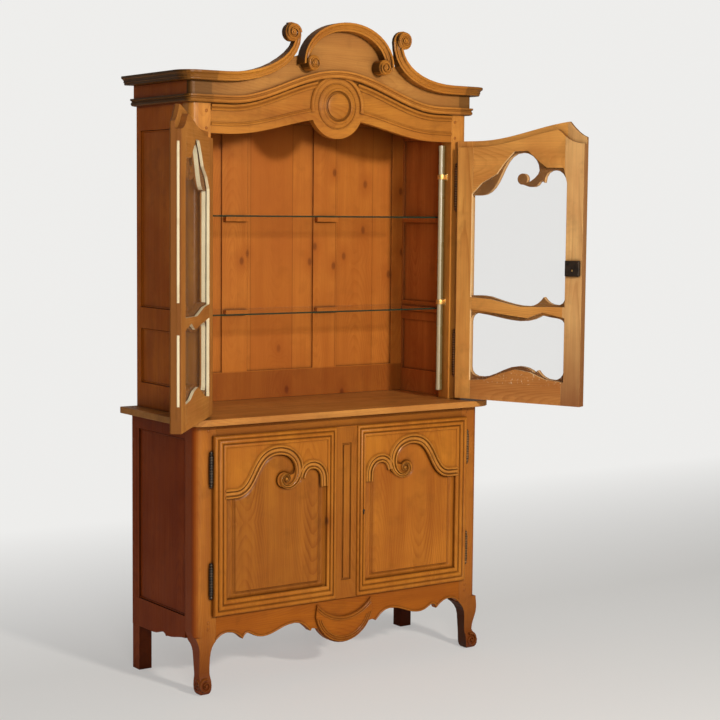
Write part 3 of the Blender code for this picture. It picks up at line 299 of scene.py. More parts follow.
class Shader:
    """Small hand for wiring one node material, from the Object coordinates on."""

    def __init__(self, name):
        self.material = bpy.data.materials.new(name)
        self.material.use_nodes = True
        self.tree = self.material.node_tree
        self.surface = self.tree.nodes["Principled BSDF"]
        self.place = self.add("TexCoord").outputs["Object"]

    def add(self, kind, settings=None, **values):
        """New node with its settings and its input values."""
        made = self.tree.nodes.new("ShaderNode" + kind)
        for key, value in (settings or {}).items():
            setattr(made, key, value)
        for key, value in values.items():
            self.put(made.inputs[key.replace("_", " ")], value)
        return made

    def put(self, socket, value):
        """Link an output, or set a plain value."""
        if isinstance(value, bpy.types.NodeSocket):
            self.tree.links.new(value, socket)
        else:
            socket.default_value = value

    def fill(self, made, *values):
        """Node whose first inputs are given in order."""
        for socket, value in zip(made.inputs, values):
            self.put(socket, value)
        return made

    def mix(self, share, first, second):
        """Blend of two colours by a share."""
        made = self.add("Mix", {"data_type": "RGBA"})
        for socket, value in ((0, share), (6, first), (7, second)):
            self.put(made.inputs[socket], value)
        return made.outputs[2]

    def sum(self, operation, *values):
        """One step of arithmetic."""
        return self.fill(self.add("Math", {"operation": operation}), *values).outputs[0]

    def times(self, first, *others):
        """Product of two or more values."""
        for other in others:
            first = self.sum("MULTIPLY", first, other)
        return first

    def above(self, value, limit):
        """1 where the value is over the limit, else 0."""
        return self.sum("GREATER_THAN", value, limit)

    def below(self, value, limit):
        """1 where the value is under the limit, else 0."""
        return self.sum("LESS_THAN", value, limit)

    def size(self, value):
        """Value without its sign."""
        return self.sum("ABSOLUTE", value)

    def most(self, first, second):
        """The larger of two values."""
        return self.sum("MAXIMUM", first, second)

    def remap(self, value, low, high, new_low=0.0, new_high=1.0):
        """Value carried from one range to another and held there."""
        made = self.add("MapRange", {"clamp": True})
        return self.fill(made, value, low, high, new_low, new_high).outputs[0]

    def noise(self, place, scale, detail=2.0, rough=0.5):
        """Cloudy noise from 0 to 1."""
        return self.add("TexNoise", Vector=place, Scale=scale, Detail=detail, Roughness=rough).outputs[0]

    def parts(self, vector):
        """X, Y and Z of a vector."""
        return self.add("SeparateXYZ", Vector=vector).outputs

    def dot(self, first, second):
        """Cosine between two directions."""
        return self.fill(self.add("VectorMath", {"operation": "DOT_PRODUCT"}), first, second).outputs["Value"]

    def drawn_out(self, place, grain, share):
        """Place squeezed along the grain, so that what is laid on it is drawn out."""
        scale = [1.0, 1.0, 1.0]
        scale[AXES[grain]] = share
        return self.add("Mapping", Vector=place, Scale=scale).outputs[0]

    def set(self, **values):
        """Inputs of the surface."""
        for key, value in values.items():
            self.put(self.surface.inputs[key.replace("_", " ")], value)


def stained(colour, *shares):
    """Colour times one share, or times one share each for its red, green and blue."""
    return tuple(np.multiply(colour[:3], shares)) + (1.0,)


def tint(colour, share):
    """Colour made darker or lighter by a share, and no lighter than white."""
    return tuple(np.minimum(stained(colour, share), 1.0))


def cut_walls(s, wood, normal, turn, share):
    """Raw cream walls of the sawn openings in a glazed door, behind its panes, and the door's dark edges.

    The place is turned back to the shut door; a wall is where the surface doesn't look along its depth.
    """
    colours = bpy.context.scene.buffet_finish
    side = -1 if turn < 0 else 1
    hinge = Vector((MIDDLE_X + side * HINGE_X, FRONT_Y + HINGE_Y, 0.0))
    shut = hinge - Matrix.Rotation(-turn, 3, "Z") @ hinge
    place = s.add("Mapping", Vector=s.place, Rotation=(0, 0, -turn), Location=shut).outputs[0]
    look = s.add("Mapping", {"vector_type": "VECTOR"}, Vector=normal, Rotation=(0, 0, -turn)).outputs[0]
    x, y, z = s.parts(place)
    across = s.size(s.sum("SUBTRACT", x, MIDDLE_X))
    look_x, look_y, look_z = s.parts(look)
    face = FRONT_Y + CABINET_Y
    wall = s.below(s.size(look_y), 0.6)
    for value, low, high in ((across, 0.045, 0.500), (z, TOP_Z + 0.030, TOP_Z + 0.972),
                             (y, face - 0.0085, FRONT_Y + 1.0)):
        wall = s.times(wall, s.above(value, low), s.below(value, high))
    behind = s.above(y, face + 0.0075)
    patch = s.noise(place, 14.0, 4.0)
    if side < 0:
        steep = s.times(s.above(s.size(look_x), 0.45), s.above(across, 0.30))
        wall = s.times(wall, s.most(behind, steep))
        worn = s.remap(patch, 0.30, 0.62, 1.0, 0.85)
    else:
        wood = s.mix(s.times(wall, 0.9), wood, tint(colours.raw, 1.15))
        wall = s.times(wall, behind)
        worn = s.remap(patch, 0.30, 0.62)
    wood = s.mix(s.times(wall, s.times(worn, share)), wood, colours.cream)
    edge = s.times(s.above(s.size(look_x), 0.6), s.below(across, 0.03))
    crest = s.times(s.above(look_z, 0.5), s.above(z, TOP_Z + 0.975))
    return s.mix(s.times(s.most(edge, crest), 0.8), wood, colours.edge)


def board_rings(s, place, grain, width, tilt, rings, bend):
    """Growth rings of boards laid side by side, from 0 after the winter line to 1 before the next.

    Each board has its own pith, and the ring number is the distance from it. The pith dips along the board,
    which draws the rings out into arches. The second value is the board's own lot, from 0 to 1.
    """
    parts = s.parts(place)
    along = parts[AXES[grain]]
    others = [parts[k] for k in range(3) if k != AXES[grain]]
    number = s.sum("DIVIDE", s.sum("ADD", *others), width)
    lot = s.add("TexWhiteNoise", {"noise_dimensions": "1D"}, W=s.sum("FLOOR", number)).outputs[0]
    aside = s.times(s.sum("SUBTRACT", s.sum("FRACT", number), s.remap(lot, 0.0, 1.0, 0.3, 0.7)), width)
    dip = s.sum("MULTIPLY_ADD", along, tilt, s.times(lot, 0.7))
    dip = s.sum("ADD", s.sum("PINGPONG", dip, 0.085), 0.006)
    reach = s.sum("SQRT", s.sum("MULTIPLY_ADD", aside, aside, s.times(dip, dip)))
    wander = s.noise(s.drawn_out(place, grain, 0.22), 11.0, 3.0)
    phase = s.sum("MULTIPLY_ADD", reach, rings, s.times(wander, 2.6))
    return s.sum("FRACT", s.sum("ADD", phase, bend)), lot


def knot_cells(s, place, grain, face, share):
    """Distance from the nearest knot on the boards' face, and whether it is one of the chosen share."""
    parts = s.parts(place)
    across = parts[3 - AXES[grain] - AXES[face]]
    flat = s.add("CombineXYZ", X=across, Y=s.times(parts[AXES[grain]], 0.6)).outputs[0]
    cell = s.add("TexVoronoi", {"voronoi_dimensions": "2D"}, Vector=flat, Scale=7.2, Randomness=1.0)
    lot = s.add("SeparateColor", Color=cell.outputs["Color"]).outputs[0]
    return cell.outputs["Distance"], s.above(lot, 1.0 - share)


def waxed_pine(name, colour, grain="Z", turn=0.0, seed=0.0, contrast=1.0, knots=0.0, grime_and_shade=1.0, wax=0.05,
               board=0.17, seams=False, cut=None, low=None, side_shade=None, ends=0.0, tilt=0.15,
               face="Y", local=False, blotch=0.62, hidden_shade=0.0, inward_shade=0.0, specks=None):
    """Pine under old wax: arched growth rings, fibres, knots, worn edges with a painted highlight, dark wax
    and painted shade in hollows.

    Low gives heights between which the wood darkens downwards and by how much, side_shade how much faces to
    the sides are darkened as painted shade, between which slants and in which tone, and ends how much the
    crest darkens beyond the joints at both ends and towards them, partly the end blocks' darker tone and
    partly painted shade. Face is the way the boards look, blotch the share of the dark clouds, hidden_shade
    how dark all but the outer face of a side is painted as shade, inward_shade how dark the faces towards the
    middle are painted as shade, cut the share of cream on a glazed door's sawn walls, and specks the heights
    between which putty is left.
    """
    s = Shader(name)
    look = bpy.context.scene.buffet_finish
    laid = s.add("Mapping", Vector=s.place, Rotation=(0, 0, -turn), Location=(seed, seed * 0.7, seed * 1.3))
    laid = laid.outputs[0]
    normal = s.add("NewGeometry").outputs["Normal"]
    bend = 0.0
    if knots > 0:
        near, chosen = knot_cells(s, laid, grain, face, knots)
        close = s.times(s.remap(near, 0.0, 0.45, 1.0, 0.0), chosen)
        bend = s.times(close, close, 5.0)
    ring, lot = board_rings(s, laid, grain, board, tilt, look.ring_scale, bend)
    fibre = s.noise(s.drawn_out(laid, grain, 0.018), 190.0, 3.0, 0.6)
    streak = s.noise(s.drawn_out(laid, grain, 0.07), 24.0, 3.0, 0.55)
    figure = s.noise(s.drawn_out(laid, grain, 0.30), 7.0)
    cloud = s.noise(laid, 4.2, 4.0, 0.55)
    stain = s.noise(laid, 13.0, 4.0, 0.6)

    # Early and late wood, then streaks, clouds, stains and fibres over both.
    winter = s.times(s.remap(ring, 0.42, 0.94), s.remap(ring, 0.95, 1.0, 1.0, 0.0))
    fade = s.times(s.remap(streak, 0.30, 0.70, 0.35, 1.0), s.remap(figure, 0.42, 0.60, 0.22, 1.0))
    wood = s.mix(s.times(winter, fade, 0.74 * contrast),
                 stained(colour, 1.16, 1.24, 1.25), stained(colour, 0.66, 0.50, 0.42))
    for share, tone in ((s.remap(streak, 0.42, 0.70, 0.0, 0.50), (0.66, 0.54, 0.46)),
                        (s.remap(streak, 0.26, 0.44, 0.35, 0.0), (1.35,)),
                        (s.remap(cloud, 0.34, 0.72, 0.0, blotch), (0.74, 0.58, 0.50)),
                        (s.remap(stain, 0.55, 0.75, 0.0, 0.44), (0.50,)),
                        (s.remap(fibre, 0.40, 0.76, 0.0, 0.34), (0.60,))):
        wood = s.mix(share, wood, stained(colour, *tone))
    if knots > 0:
        halo = stained(colour, 0.62, 0.48, 0.40)
        wood = s.mix(s.times(s.remap(near, 0.07, 0.30, 0.60, 0.0), chosen), wood, halo)
        wood = s.mix(s.times(s.remap(near, 0.04, 0.085, 0.85, 0.0), chosen), wood, look.knot)
    if seams:
        wood = boarded(s, wood, colour, laid, lot, board)

    # Worn edges with a painted highlight, dark wax and painted shade in hollows, wider painted shade in
    # corners.
    rounded = s.add("Bevel", {"samples": 4}, Radius=look.edge_round).outputs[0]
    # Worn edges, painted paler still as a highlight on edges and ridges.
    worn = s.remap(s.dot(rounded, normal), 0.80, 0.985, 0.60, 0.0)
    wood = s.mix(s.times(worn, s.remap(cloud, 0.35, 0.65, 1.0, 0.3)), wood, tint(colour, 1.6))
    # Dark wax in the hollows, with painted shade where parts meet.
    hollow = s.add("AmbientOcclusion", {"samples": 8, "only_local": local}, Distance=look.glaze_and_shade_reach)
    dirt_and_shade = s.remap(hollow.outputs["AO"], 0.38, 0.95, 0.84 * grime_and_shade, 0.0)
    wood = s.mix(s.times(dirt_and_shade, s.remap(stain, 0.38, 0.58, 1.0, 0.62)), wood, look.glaze_and_shade)
    # Painted shade: a wider occlusion darkens corners and the spaces between parts.
    corner_shade = s.add("AmbientOcclusion", {"samples": 4, "only_local": local}, Distance=0.075)
    wood = s.mix(s.remap(corner_shade.outputs["AO"], 0.30, 0.92, 0.46 * grime_and_shade, 0.0), wood, tint(colour, 0.30))

    # Darkening by place, partly painted shade, and painted shade by the way a face looks.
    if low is not None:
        wood = s.mix(s.remap(s.parts(s.place)[2], *low, 0.0), wood, stained(colour, 0.30, 0.16, 0.14))
    # Darker beyond the joints at the crest's ends, with painted shade fading in towards them.
    if ends > 0:
        x = s.sum("SUBTRACT", s.parts(s.place)[0], MIDDLE_X)
        beyond = s.most(s.remap(x, -0.534, -0.526, 1.0, 0.0), s.remap(x, 0.553, 0.560))
        toward = s.most(s.remap(x, -0.530, -0.400, 0.45, 0.0), s.remap(x, 0.480, 0.560, 0.0, 0.30))
        wood = s.mix(s.times(s.most(beyond, toward), ends), wood, tint(colour, 0.22))
    # Painted shade on faces that look to the sides.
    if side_shade is not None:
        share, begin, end, tone = side_shade
        wood = s.mix(s.remap(s.size(s.parts(normal)[0]), begin, end, 0.0, share), wood, tone)
    # Painted shade on the faces towards the middle when asked for, else on all but a side's outer face.
    if hidden_shade > 0 or inward_shade > 0:
        side = s.sum("SIGN", s.sum("SUBTRACT", s.parts(s.place)[0], MIDDLE_X))
        outer = s.times(side, s.parts(normal)[0])
        if inward_shade > 0:
            wood = s.mix(s.remap(outer, -0.75, -0.35, inward_shade, 0.0), wood, tint(colour, 0.08))
        else:
            wood = s.mix(s.remap(outer, 0.2, 0.6, hidden_shade, 0.0), wood, tint(colour, 0.10))
    if specks is not None:
        level = s.parts(s.place)[2]
        room = s.times(s.above(level, specks[0]), s.below(level, specks[1]))
        grit = s.remap(s.noise(laid, 120.0, 3.0, 0.6), 0.62, 0.70, 0.0, 0.55)
        wood = s.mix(s.times(grit, room), wood, look.cream)
    if cut is not None:
        wood = cut_walls(s, wood, normal, turn, cut)
    height = s.sum("MULTIPLY_ADD", fibre, 0.7, s.times(ring, 0.2))
    bump = s.add("Bump", Strength=0.16, Distance=0.0012, Height=height, Normal=rounded)
    s.set(Base_Color=wood, Normal=bump.outputs[0], Specular_IOR_Level=0.12,
          Roughness=s.remap(s.sum("ADD", fibre, cloud), 0.7, 1.3, 0.36, 0.56),
          Coat_Weight=wax, Coat_Roughness=0.20)
    return s.material


def boarded(s, wood, colour, laid, lot, board):
    """Boards of the cabinet's back: a tone for each board, seams between them, and shade under the roof."""
    level = s.parts(s.place)[2]
    wood = s.mix(s.remap(level, TOP_Z + 0.88, TOP_Z + 1.06, 0.0, 0.82), wood, tint(colour, 0.25))
    bay = s.above(level, TOP_Z + 0.108)
    wood = s.mix(s.times(s.remap(lot, 0.0, 1.0, 0.0, 0.72), bay), wood, stained(colour, 0.66, 0.50, 0.44))
    spot = s.parts(laid)
    where = s.sum("FRACT", s.sum("DIVIDE", s.sum("ADD", spot[0], spot[1]), board))
    gap = s.size(s.sum("SUBTRACT", where, 0.5))
    seam = s.times(s.remap(gap, 0.488, 0.499, 0.0, 0.5), bay)
    return s.mix(seam, wood, bpy.context.scene.buffet_finish.glaze_and_shade)


def clear_glass(name, colour, clearness, edge=None):
    """Thin old glass: slightly wavy and faintly smeared. A shelf's cut edge is dark and nearly solid."""
    s = Shader(name)
    smear = s.noise(s.place, 16.0, 4.0)
    bump = s.add("Bump", Strength=0.05, Distance=0.004, Height=s.noise(s.place, 5.0, 1.0))
    tone = s.mix(s.remap(smear, 0.4, 0.7, 0.0, 0.3), tint(colour, 0.14), tint(colour, 0.30))
    solid = clearness
    if edge is not None:
        cut = s.below(s.parts(s.place)[1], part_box("shelf_low")[0].y + 0.0015)
        tone = s.mix(cut, tone, edge)
        solid = s.remap(cut, 0.0, 1.0, clearness, 0.9)
    s.set(Base_Color=tone, Roughness=s.remap(smear, 0.35, 0.75, 0.02, 0.14), Normal=bump.outputs[0],
          IOR=1.3, Specular_IOR_Level=0.3, Alpha=solid)
    return s.material


def forged_iron(name, colour, sheen=0.42, rings=0.0):
    """Dark iron with rubbed high spots and a little rust; rings gives turned grooves per metre of height."""
    s = Shader(name)
    patch = s.noise(s.place, 60.0, 5.0, 0.65)
    grit = s.noise(s.place, 420.0, 3.0)
    metal = s.mix(s.remap(patch, 0.38, 0.70, 0.0, 0.85), colour, stained(colour, 2.2, 1.7, 1.2))
    if rings > 0:
        level = s.sum("FRACT", s.times(s.parts(s.place)[2], rings))
        groove = s.remap(s.size(s.sum("SUBTRACT", level, 0.5)), 0.24, 0.42)
        metal = s.mix(groove, metal, tint(colour, 0.25))
        grit = s.sum("MULTIPLY_ADD", grit, 0.3, s.times(groove, -3.0))
    rounded = s.add("Bevel", {"samples": 4}, Radius=0.0012)
    bump = s.add("Bump", Strength=0.3, Distance=0.0006, Height=grit, Normal=rounded.outputs[0])
    s.set(Base_Color=metal, Metallic=0.75, Normal=bump.outputs[0],
          Roughness=s.remap(patch, 0.3, 0.7, sheen - 0.1, sheen + 0.15))
    return s.material


def bare_wood(name, colour):
    """Unwaxed cream wood of the slips: fine upright fibres and a few brown smears."""
    s = Shader(name)
    fibre = s.noise(s.drawn_out(s.place, "Z", 0.03), 240.0, 3.0)
    smear = s.noise(s.place, 17.0, 4.0)
    wood = s.mix(s.remap(fibre, 0.4, 0.75, 0.0, 0.25), colour, tint(colour, 0.72))
    wood = s.mix(s.remap(smear, 0.55, 0.72, 0.0, 0.5), wood, stained(colour, 0.55, 0.38, 0.22))
    s.set(Base_Color=wood, Roughness=s.remap(fibre, 0.3, 0.7, 0.55, 0.75), Specular_IOR_Level=0.2)
    return s.material


def milk_tube(name, colour, brass):
    """White coated glass tube, a little dusty; away from the room's middle it lies in a brass channel."""
    s = Shader(name)
    dust = s.noise(s.place, 22.0, 4.0)
    channel = s.below(s.dot(s.add("NewGeometry").outputs["Normal"], (-0.90, -0.44, 0.0)), 0.82)
    white = s.mix(s.remap(dust, 0.4, 0.7, 0.0, 0.35), colour, tint(colour, 0.78))
    s.set(Base_Color=s.mix(channel, white, brass), Roughness=s.remap(dust, 0.3, 0.7, 0.22, 0.40),
          Coat_Weight=0.2)
    return s.material


def plain_matt(name, colour, glow):
    """Pale matt paper of the studio with a very faint mottle.

    To the camera and through glass it glows by itself, more with height, so that the backdrop is pale and
    the floor still takes the shadow.
    """
    s = Shader(name)
    s.set(Base_Color=s.mix(s.remap(s.noise(s.place, 1.5), 0.3, 0.7, 0.0, 0.15), colour, tint(colour, 0.97)),
          Roughness=0.9, Specular_IOR_Level=0.1)
    ray = s.add("LightPath").outputs
    seen = s.most(ray["Is Camera Ray"], ray["Is Transmission Ray"])
    spot = s.parts(s.place)
    rise = s.most(s.remap(spot[2], 0.0, 1.0, 0.40, 0.96), s.remap(spot[1], 0.5, 3.2, 0.40, 0.96))
    light = s.add("Emission", Color=glow, Strength=1.0)
    both = s.fill(s.add("MixShader"), s.times(seen, rise), s.surface.outputs[0], light.outputs[0])
    s.put(s.tree.nodes["Material Output"].inputs[0], both.outputs[0])
    return s.material


FINISHES = {}


def finish(name):
    """A finish that the timber operator has made."""
    if name not in FINISHES:
        raise RuntimeError("finish %s isn't made yet" % name)
    return FINISHES[name]


# ---------------------------------------------------------------- settings

def colour_setting(name, description, default):
    """Colour property of four parts, shown as a swatch."""
    return bpy.props.FloatVectorProperty(name=name, description=description, default=(*default, 1.0), size=4,
                                         subtype="COLOR", min=0.0, max=1.0)


def length_setting(name, description, default):
    """Length property in metres."""
    return bpy.props.FloatProperty(name=name, description=description, default=default, unit="LENGTH",
                                   subtype="DISTANCE", precision=4)


def angle_setting(name, description, degrees):
    """Angle property, given in degrees."""
    return bpy.props.FloatProperty(name=name, description=description, subtype="ANGLE",
                                   default=math.radians(degrees))


def number_setting(name, description, default, unit="NONE"):
    """Plain number property."""
    return bpy.props.FloatProperty(name=name, description=description, default=default, unit=unit)


class BuffetFinish(bpy.types.PropertyGroup):
    """Colours and scales of the finishes."""

    pine: colour_setting("Pine", "Waxed front timber", (0.345, 0.110, 0.0115))
    doors: colour_setting("Door frames", "Rubbed timber of the base door frames", (0.425, 0.142, 0.0135))
    frieze: colour_setting("Frieze", "Lighter timber of the front rail", (0.430, 0.155, 0.0210))
    pediment: colour_setting("Pediment", "Timber of the pediment board", (0.430, 0.182, 0.0420))
    apron: colour_setting("Apron", "Timber of the base apron", (0.335, 0.090, 0.0055))
    mould: colour_setting("Mouldings", "Rubbed timber of the cornice and scrolls", (0.480, 0.180, 0.0230))
    crown: colour_setting("Crown", "Rubbed timber of the crown moulding", (0.500, 0.190, 0.0300))
    shaded: colour_setting("Shaded pine", "Darker timber of the sides", (0.520, 0.125, 0.0060))
    raw: colour_setting("Raw pine", "Paler inside faces of the glazed doors", (0.690, 0.385, 0.1450))
    inner: colour_setting("Inner side", "Lighter timber of the right side", (0.450, 0.132, 0.0260))
    dark: colour_setting("Dark sides", "Darkest timber of the base sides", (0.260, 0.040, 0.0012))
    rails: colour_setting("Raw rails", "Inside faces of the glazed doors' rails", (0.680, 0.310, 0.0740))
    low_rail: colour_setting("Low rail", "Darker low rail of the right glazed door", (0.500, 0.200, 0.0520))
    boards: colour_setting("Back boards", "Timber of the cabinet's inside", (0.550, 0.184, 0.0270))
    top: colour_setting("Top board", "Worn timber of the base top", (0.500, 0.205, 0.0450))
    # A paler copy of the pine, painted light on the cabinet posts.
    lit_post: colour_setting("Cabinet posts", "Paler timber of the cabinet posts", (0.560, 0.215, 0.0360))
    legs: colour_setting("Legs", "Post and leg timber, darker low down", (0.400, 0.130, 0.0150))
    # Dark wax in grooves and joints, also the colour of the painted shade in hollows and where parts meet.
    glaze_and_shade: colour_setting("Glaze", "Dark wax that sits in grooves and corners", (0.070, 0.0155, 0.0020))
    knot: colour_setting("Knots", "Heart of the knots", (0.085, 0.024, 0.006))
    cream: colour_setting("Cream walls", "Bare walls of the sawn openings", (0.86, 0.74, 0.48))
    edge: colour_setting("Door edges", "Dark edges of the glazed doors", (0.200, 0.066, 0.0140))
    left: colour_setting("Left door", "Inside face of the left glazed door", (0.400, 0.155, 0.0320))
    iron: colour_setting("Iron", "Left base hinges and lock", (0.035, 0.030, 0.026))
    bronze: colour_setting("Bronzed iron", "The other hinges", (0.155, 0.088, 0.0400))
    brass: colour_setting("Brass", "Clips of the light tube", (0.52, 0.36, 0.13))
    glass: colour_setting("Glass", "Panes", (0.93, 0.97, 0.95))
    shelf: colour_setting("Shelf glass", "Greenish shelf glass", (0.62, 0.78, 0.68))
    shelf_edge: colour_setting("Shelf edge", "Dark green cut edge of the shelves", (0.012, 0.032, 0.019))
    tube: colour_setting("Tube", "Light tube", (0.47, 0.39, 0.24))
    ring_scale: number_setting("Rings", "Growth rings per metre", 140.0)
    edge_round: length_setting("Edge rounding", "Radius that the light sees on edges", 0.0025)
    # How far the dark wax and the painted shade reach out of a hollow.
    glaze_and_shade_reach: length_setting("Glaze reach", "How far glaze creeps out of a hollow", 0.011)


class BuffetMouldings(bpy.types.PropertyGroup):
    """Sizes of the carved mouldings."""

    band: length_setting("Scroll band", "Width of the carved band on the base doors", 0.036)
    band_height: length_setting("Band height", "How far the band stands out", 0.0092)
    bead: length_setting("Bead", "Height of the frame's beads", 0.0074)
    top_bead: length_setting("Top beads", "Width of the beads along a base door's top", 0.046)
    margin: length_setting("Panel margin", "Low border of the raised panels", 0.018)
    side_margin: length_setting("Side margin", "Upright borders of the raised panels", 0.027)
    field: length_setting("Panel rise", "How far a panel's field stands out", 0.0075)
    peg: length_setting("Peg", "Radius of the joint pegs", 0.0055)


class BuffetStage(bpy.types.PropertyGroup):
    """Studio, lamps and camera."""

    floor: colour_setting("Floor", "Pale floor and backdrop", (0.80, 0.79, 0.77))
    backdrop: colour_setting("Backdrop", "Pale glow of the backdrop", (0.88, 0.875, 0.86))
    key: number_setting("Key lamp", "Power of the front lamp", 205.0, "POWER")
    fill: number_setting("Fill lamp", "Power of the left lamp", 120.0, "POWER")
    sky: number_setting("Sky", "Strength of the even light", 0.15)
    lens: number_setting("Lens", "Focal length in millimetres", 84.77)
    yaw: angle_setting("Yaw", "Turn of the view to the right", 35.16)
    pitch: angle_setting("Pitch", "Tilt of the view downwards", 5.02)
    roll: angle_setting("Roll", "Turn about the line of sight", 0.54)
    place: bpy.props.FloatVectorProperty(name="Camera", description="Place of the camera",
                                         subtype="TRANSLATION", default=(-3.44099, -5.09319, 1.7028))


# ---------------------------------------------------------------- carved lines

def swell(begin, end, steps, low, rise):
    """Serpentine line between two places across: a squared cosine that dies out towards the posts."""
    x = np.linspace(begin, end, steps)
    inside = np.abs(x) < SWELL_HALF
    return np.stack([x, low + rise * np.where(inside, np.cos(np.pi * x / (2 * SWELL_HALF)) ** 2, 0.0)], -1)


def scroll_line():
    """Sight edge of the left base door's top up to the hook: level, an S up to the hump, and its far side."""
    def at(u, v):
        return -SIGHT_OUT + u * (SIGHT_OUT - SIGHT_IN), SCROLL_LOW + v * SCROLL_RISE
    return np.concatenate([
        [at(-0.02, 0), at(0.08, 0)],
        cubic(at(0.08, 0), at(0.19, 0.0), at(0.25, 0.20), at(0.30, 0.46))[1:],
        cubic(at(0.30, 0.46), at(0.36, 0.76), at(0.40, 1.0), at(0.53, 1.0))[1:],
        cubic(at(0.53, 1.0), at(0.64, 1.0), at(0.71, 0.80), at(0.71, 0.58))[1:],
    ])


def hook_line(band):
    """Middle line and width of the left door's scroll band: the S, then a volute that winds in clockwise.

    The volute's radius falls by an even share and by a fast dying one, and so does the band's width.
    """
    sight = even(scroll_line(), 0.006)
    neck = sight + mitres(sight, False) * band / 2
    eye = np.array(SCROLL_EYE)
    start = neck[-1] - eye
    begin, reach = math.atan2(start[1], start[0]), np.linalg.norm(start)
    t = np.linspace(0, 1, 110)[1:]
    angle = begin - t * math.radians(560)
    radius = 0.0035 + 0.0255 * (1 - t) + (reach - 0.029) * np.exp(-t / 0.10)
    curl = eye + radius[:, None] * np.stack([np.cos(angle), np.sin(angle)], -1)
    narrowed = 0.0070 + 0.0080 * (1 - t) + (band - 0.0150) * np.exp(-t / 0.115)
    return np.concatenate([neck, curl]), np.concatenate([np.full(len(neck), band), narrowed])


def second_hump():
    """Middle line of the small hump beside the hook, down to its square end."""
    return even(np.concatenate([
        cubic((-0.201, 0.744), (-0.196, 0.772), (-0.178, 0.789), (-0.156, 0.789)),
        cubic((-0.156, 0.789), (-0.122, 0.789), (-0.104, 0.766), (-0.100, 0.738))[1:],
        [(-0.099, HUMP_END)],
    ]), 0.005)


def door_sight():
    """Closed outline of the left base door's sunk panel under the carved edge."""
    top = scroll_line()[1:]
    top[0] = (-SIGHT_OUT, SCROLL_LOW)
    disc = round_stroke((-SIGHT_OUT + 0.59 * 0.4, SCROLL_LOW + 0.345 * SCROLL_RISE), 0.068 * 0.4, 35, 280, 26)
    hump = np.concatenate([
        cubic((-0.205, 0.734), (-0.203, 0.763), (-0.186, 0.7755), (-0.161, 0.7755)),
        cubic((-0.161, 0.7755), (-0.130, 0.7755), (-0.116, 0.756), (-0.110, 0.733))[1:],
    ])
    floor = [(-SIGHT_IN, HUMP_END), (-SIGHT_MEET, HUMP_END),
             (-SIGHT_MEET, SIGHT_LOW), (-SIGHT_OUT, SIGHT_LOW)]
    return np.concatenate([top, disc, hump, floor])


def volute(centre, radius, lay, hand, start, turns=1.9, high=0.006):
    """Carved scroll on a face: a ridge whose radius shrinks evenly as it turns, and a round eye."""
    t = np.linspace(0, 1, 96)
    angle = math.radians(start) + hand * t * turns * 2 * math.pi
    reach = radius * (1.0 - 0.80 * t)
    path = np.stack([centre[0] + reach * np.cos(angle), centre[1] + reach * np.sin(angle)], -1)
    ridge = np.array([(-0.5, -0.35), (-0.42, 0.55), (-0.15, 0.95), (0.15, 1.0), (0.40, 0.60), (0.5, -0.35)])
    eye = np.array([(0.20, -0.35), (0.19, 0.7), (0.12, 1.15), (0.02, 1.25)])
    return [carried(path, ridge * (-1.0 if hand > 0 else 1.0, high), lay, width=radius * (0.34 - 0.16 * t)),
            spun(centre, eye * (radius, high), lay, 24)]


# Profiles as (sideways, height), turned ones as (radius, height). The bands and beads of the doors give
# their heights as shares of a setting, those of the base doors also their widths.
LOW_BEAD = [(-0.0055, SUNK), (-0.005, 0.0025), (-0.0025, 0.0045), (0.0, 0.0042), (0.0015, 0.0022),
            (0.003, 0.0022), (0.0045, 0.0036), (0.006, 0.003), (0.007, SUNK)]
HIGH_BEADS = [(0.0, SUNK), (0.0005, 0.0035), (0.004, 0.0055), (0.008, 0.0045), (0.010, 0.0022),
              (0.012, 0.0022), (0.0135, 0.006), (0.017, 0.0085), (0.0215, 0.0085), (0.0235, 0.005),
              (0.0245, SUNK)]
MEDAL_EAR = [(-0.0085, SUNK), (-0.0082, 0.0045), (-0.004, 0.0088), (0.002, 0.0090), (0.0060, 0.0058),
             (0.0066, SUNK)]
FINE_RING = [(-0.0016, SUNK), (-0.0012, 0.0030), (0.0, 0.0036), (0.0012, 0.0026), (0.0016, SUNK)]
MEDAL_RING = [(-0.0046, 0.003), (-0.0036, 0.0095), (0.0, 0.0112), (0.0036, 0.0095), (0.0046, 0.003)]
MEDAL_BOSS = [(0.046, 0.004), (0.0455, 0.0085), (0.043, 0.0095), (0.030, 0.0100), (0.002, 0.0102)]
SCROLL_BAND = [(-0.495, 0.45), (-0.45, 0.86), (-0.38, 1.0), (-0.31, 0.86), (-0.275, 0.30), (-0.265, 0.06),
               (-0.225, 0.06), (-0.20, 0.40), (-0.12, 0.62), (0.0, 0.68), (0.10, 0.60), (0.145, 0.36),
               (0.16, 0.06), (0.20, 0.06), (0.225, 0.62), (0.29, 0.94), (0.36, 0.92), (0.42, 0.66),
               (0.47, 0.22), (0.50, 0.10)]
FRAME_BEADS = [(0.02, 0.20), (0.05, 0.55), (0.12, 0.84), (0.19, 0.84), (0.25, 0.62), (0.285, 0.34),
               (0.30, 0.03), (0.335, 0.03), (0.36, 0.40), (0.42, 0.80), (0.50, 1.0), (0.57, 0.92),
               (0.62, 0.62), (0.65, 0.34), (0.665, 0.03), (0.70, 0.03), (0.72, 0.36), (0.78, 0.62),
               (0.85, 0.66), (0.92, 0.50), (0.97, 0.22)]
GLAZED_BEADS = [(0.0012, 0.4), (0.004, 0.8), (0.009, 0.9), (0.0115, 0.6), (0.0122, 0.05), (0.0142, 0.05),
                (0.0155, 0.7), (0.019, 1.0), (0.0225, 0.7)]
SCROLL_BOSS = [(0.0075, SUNK), (0.007, 0.004), (0.005, 0.0065), (0.001, 0.0072)]
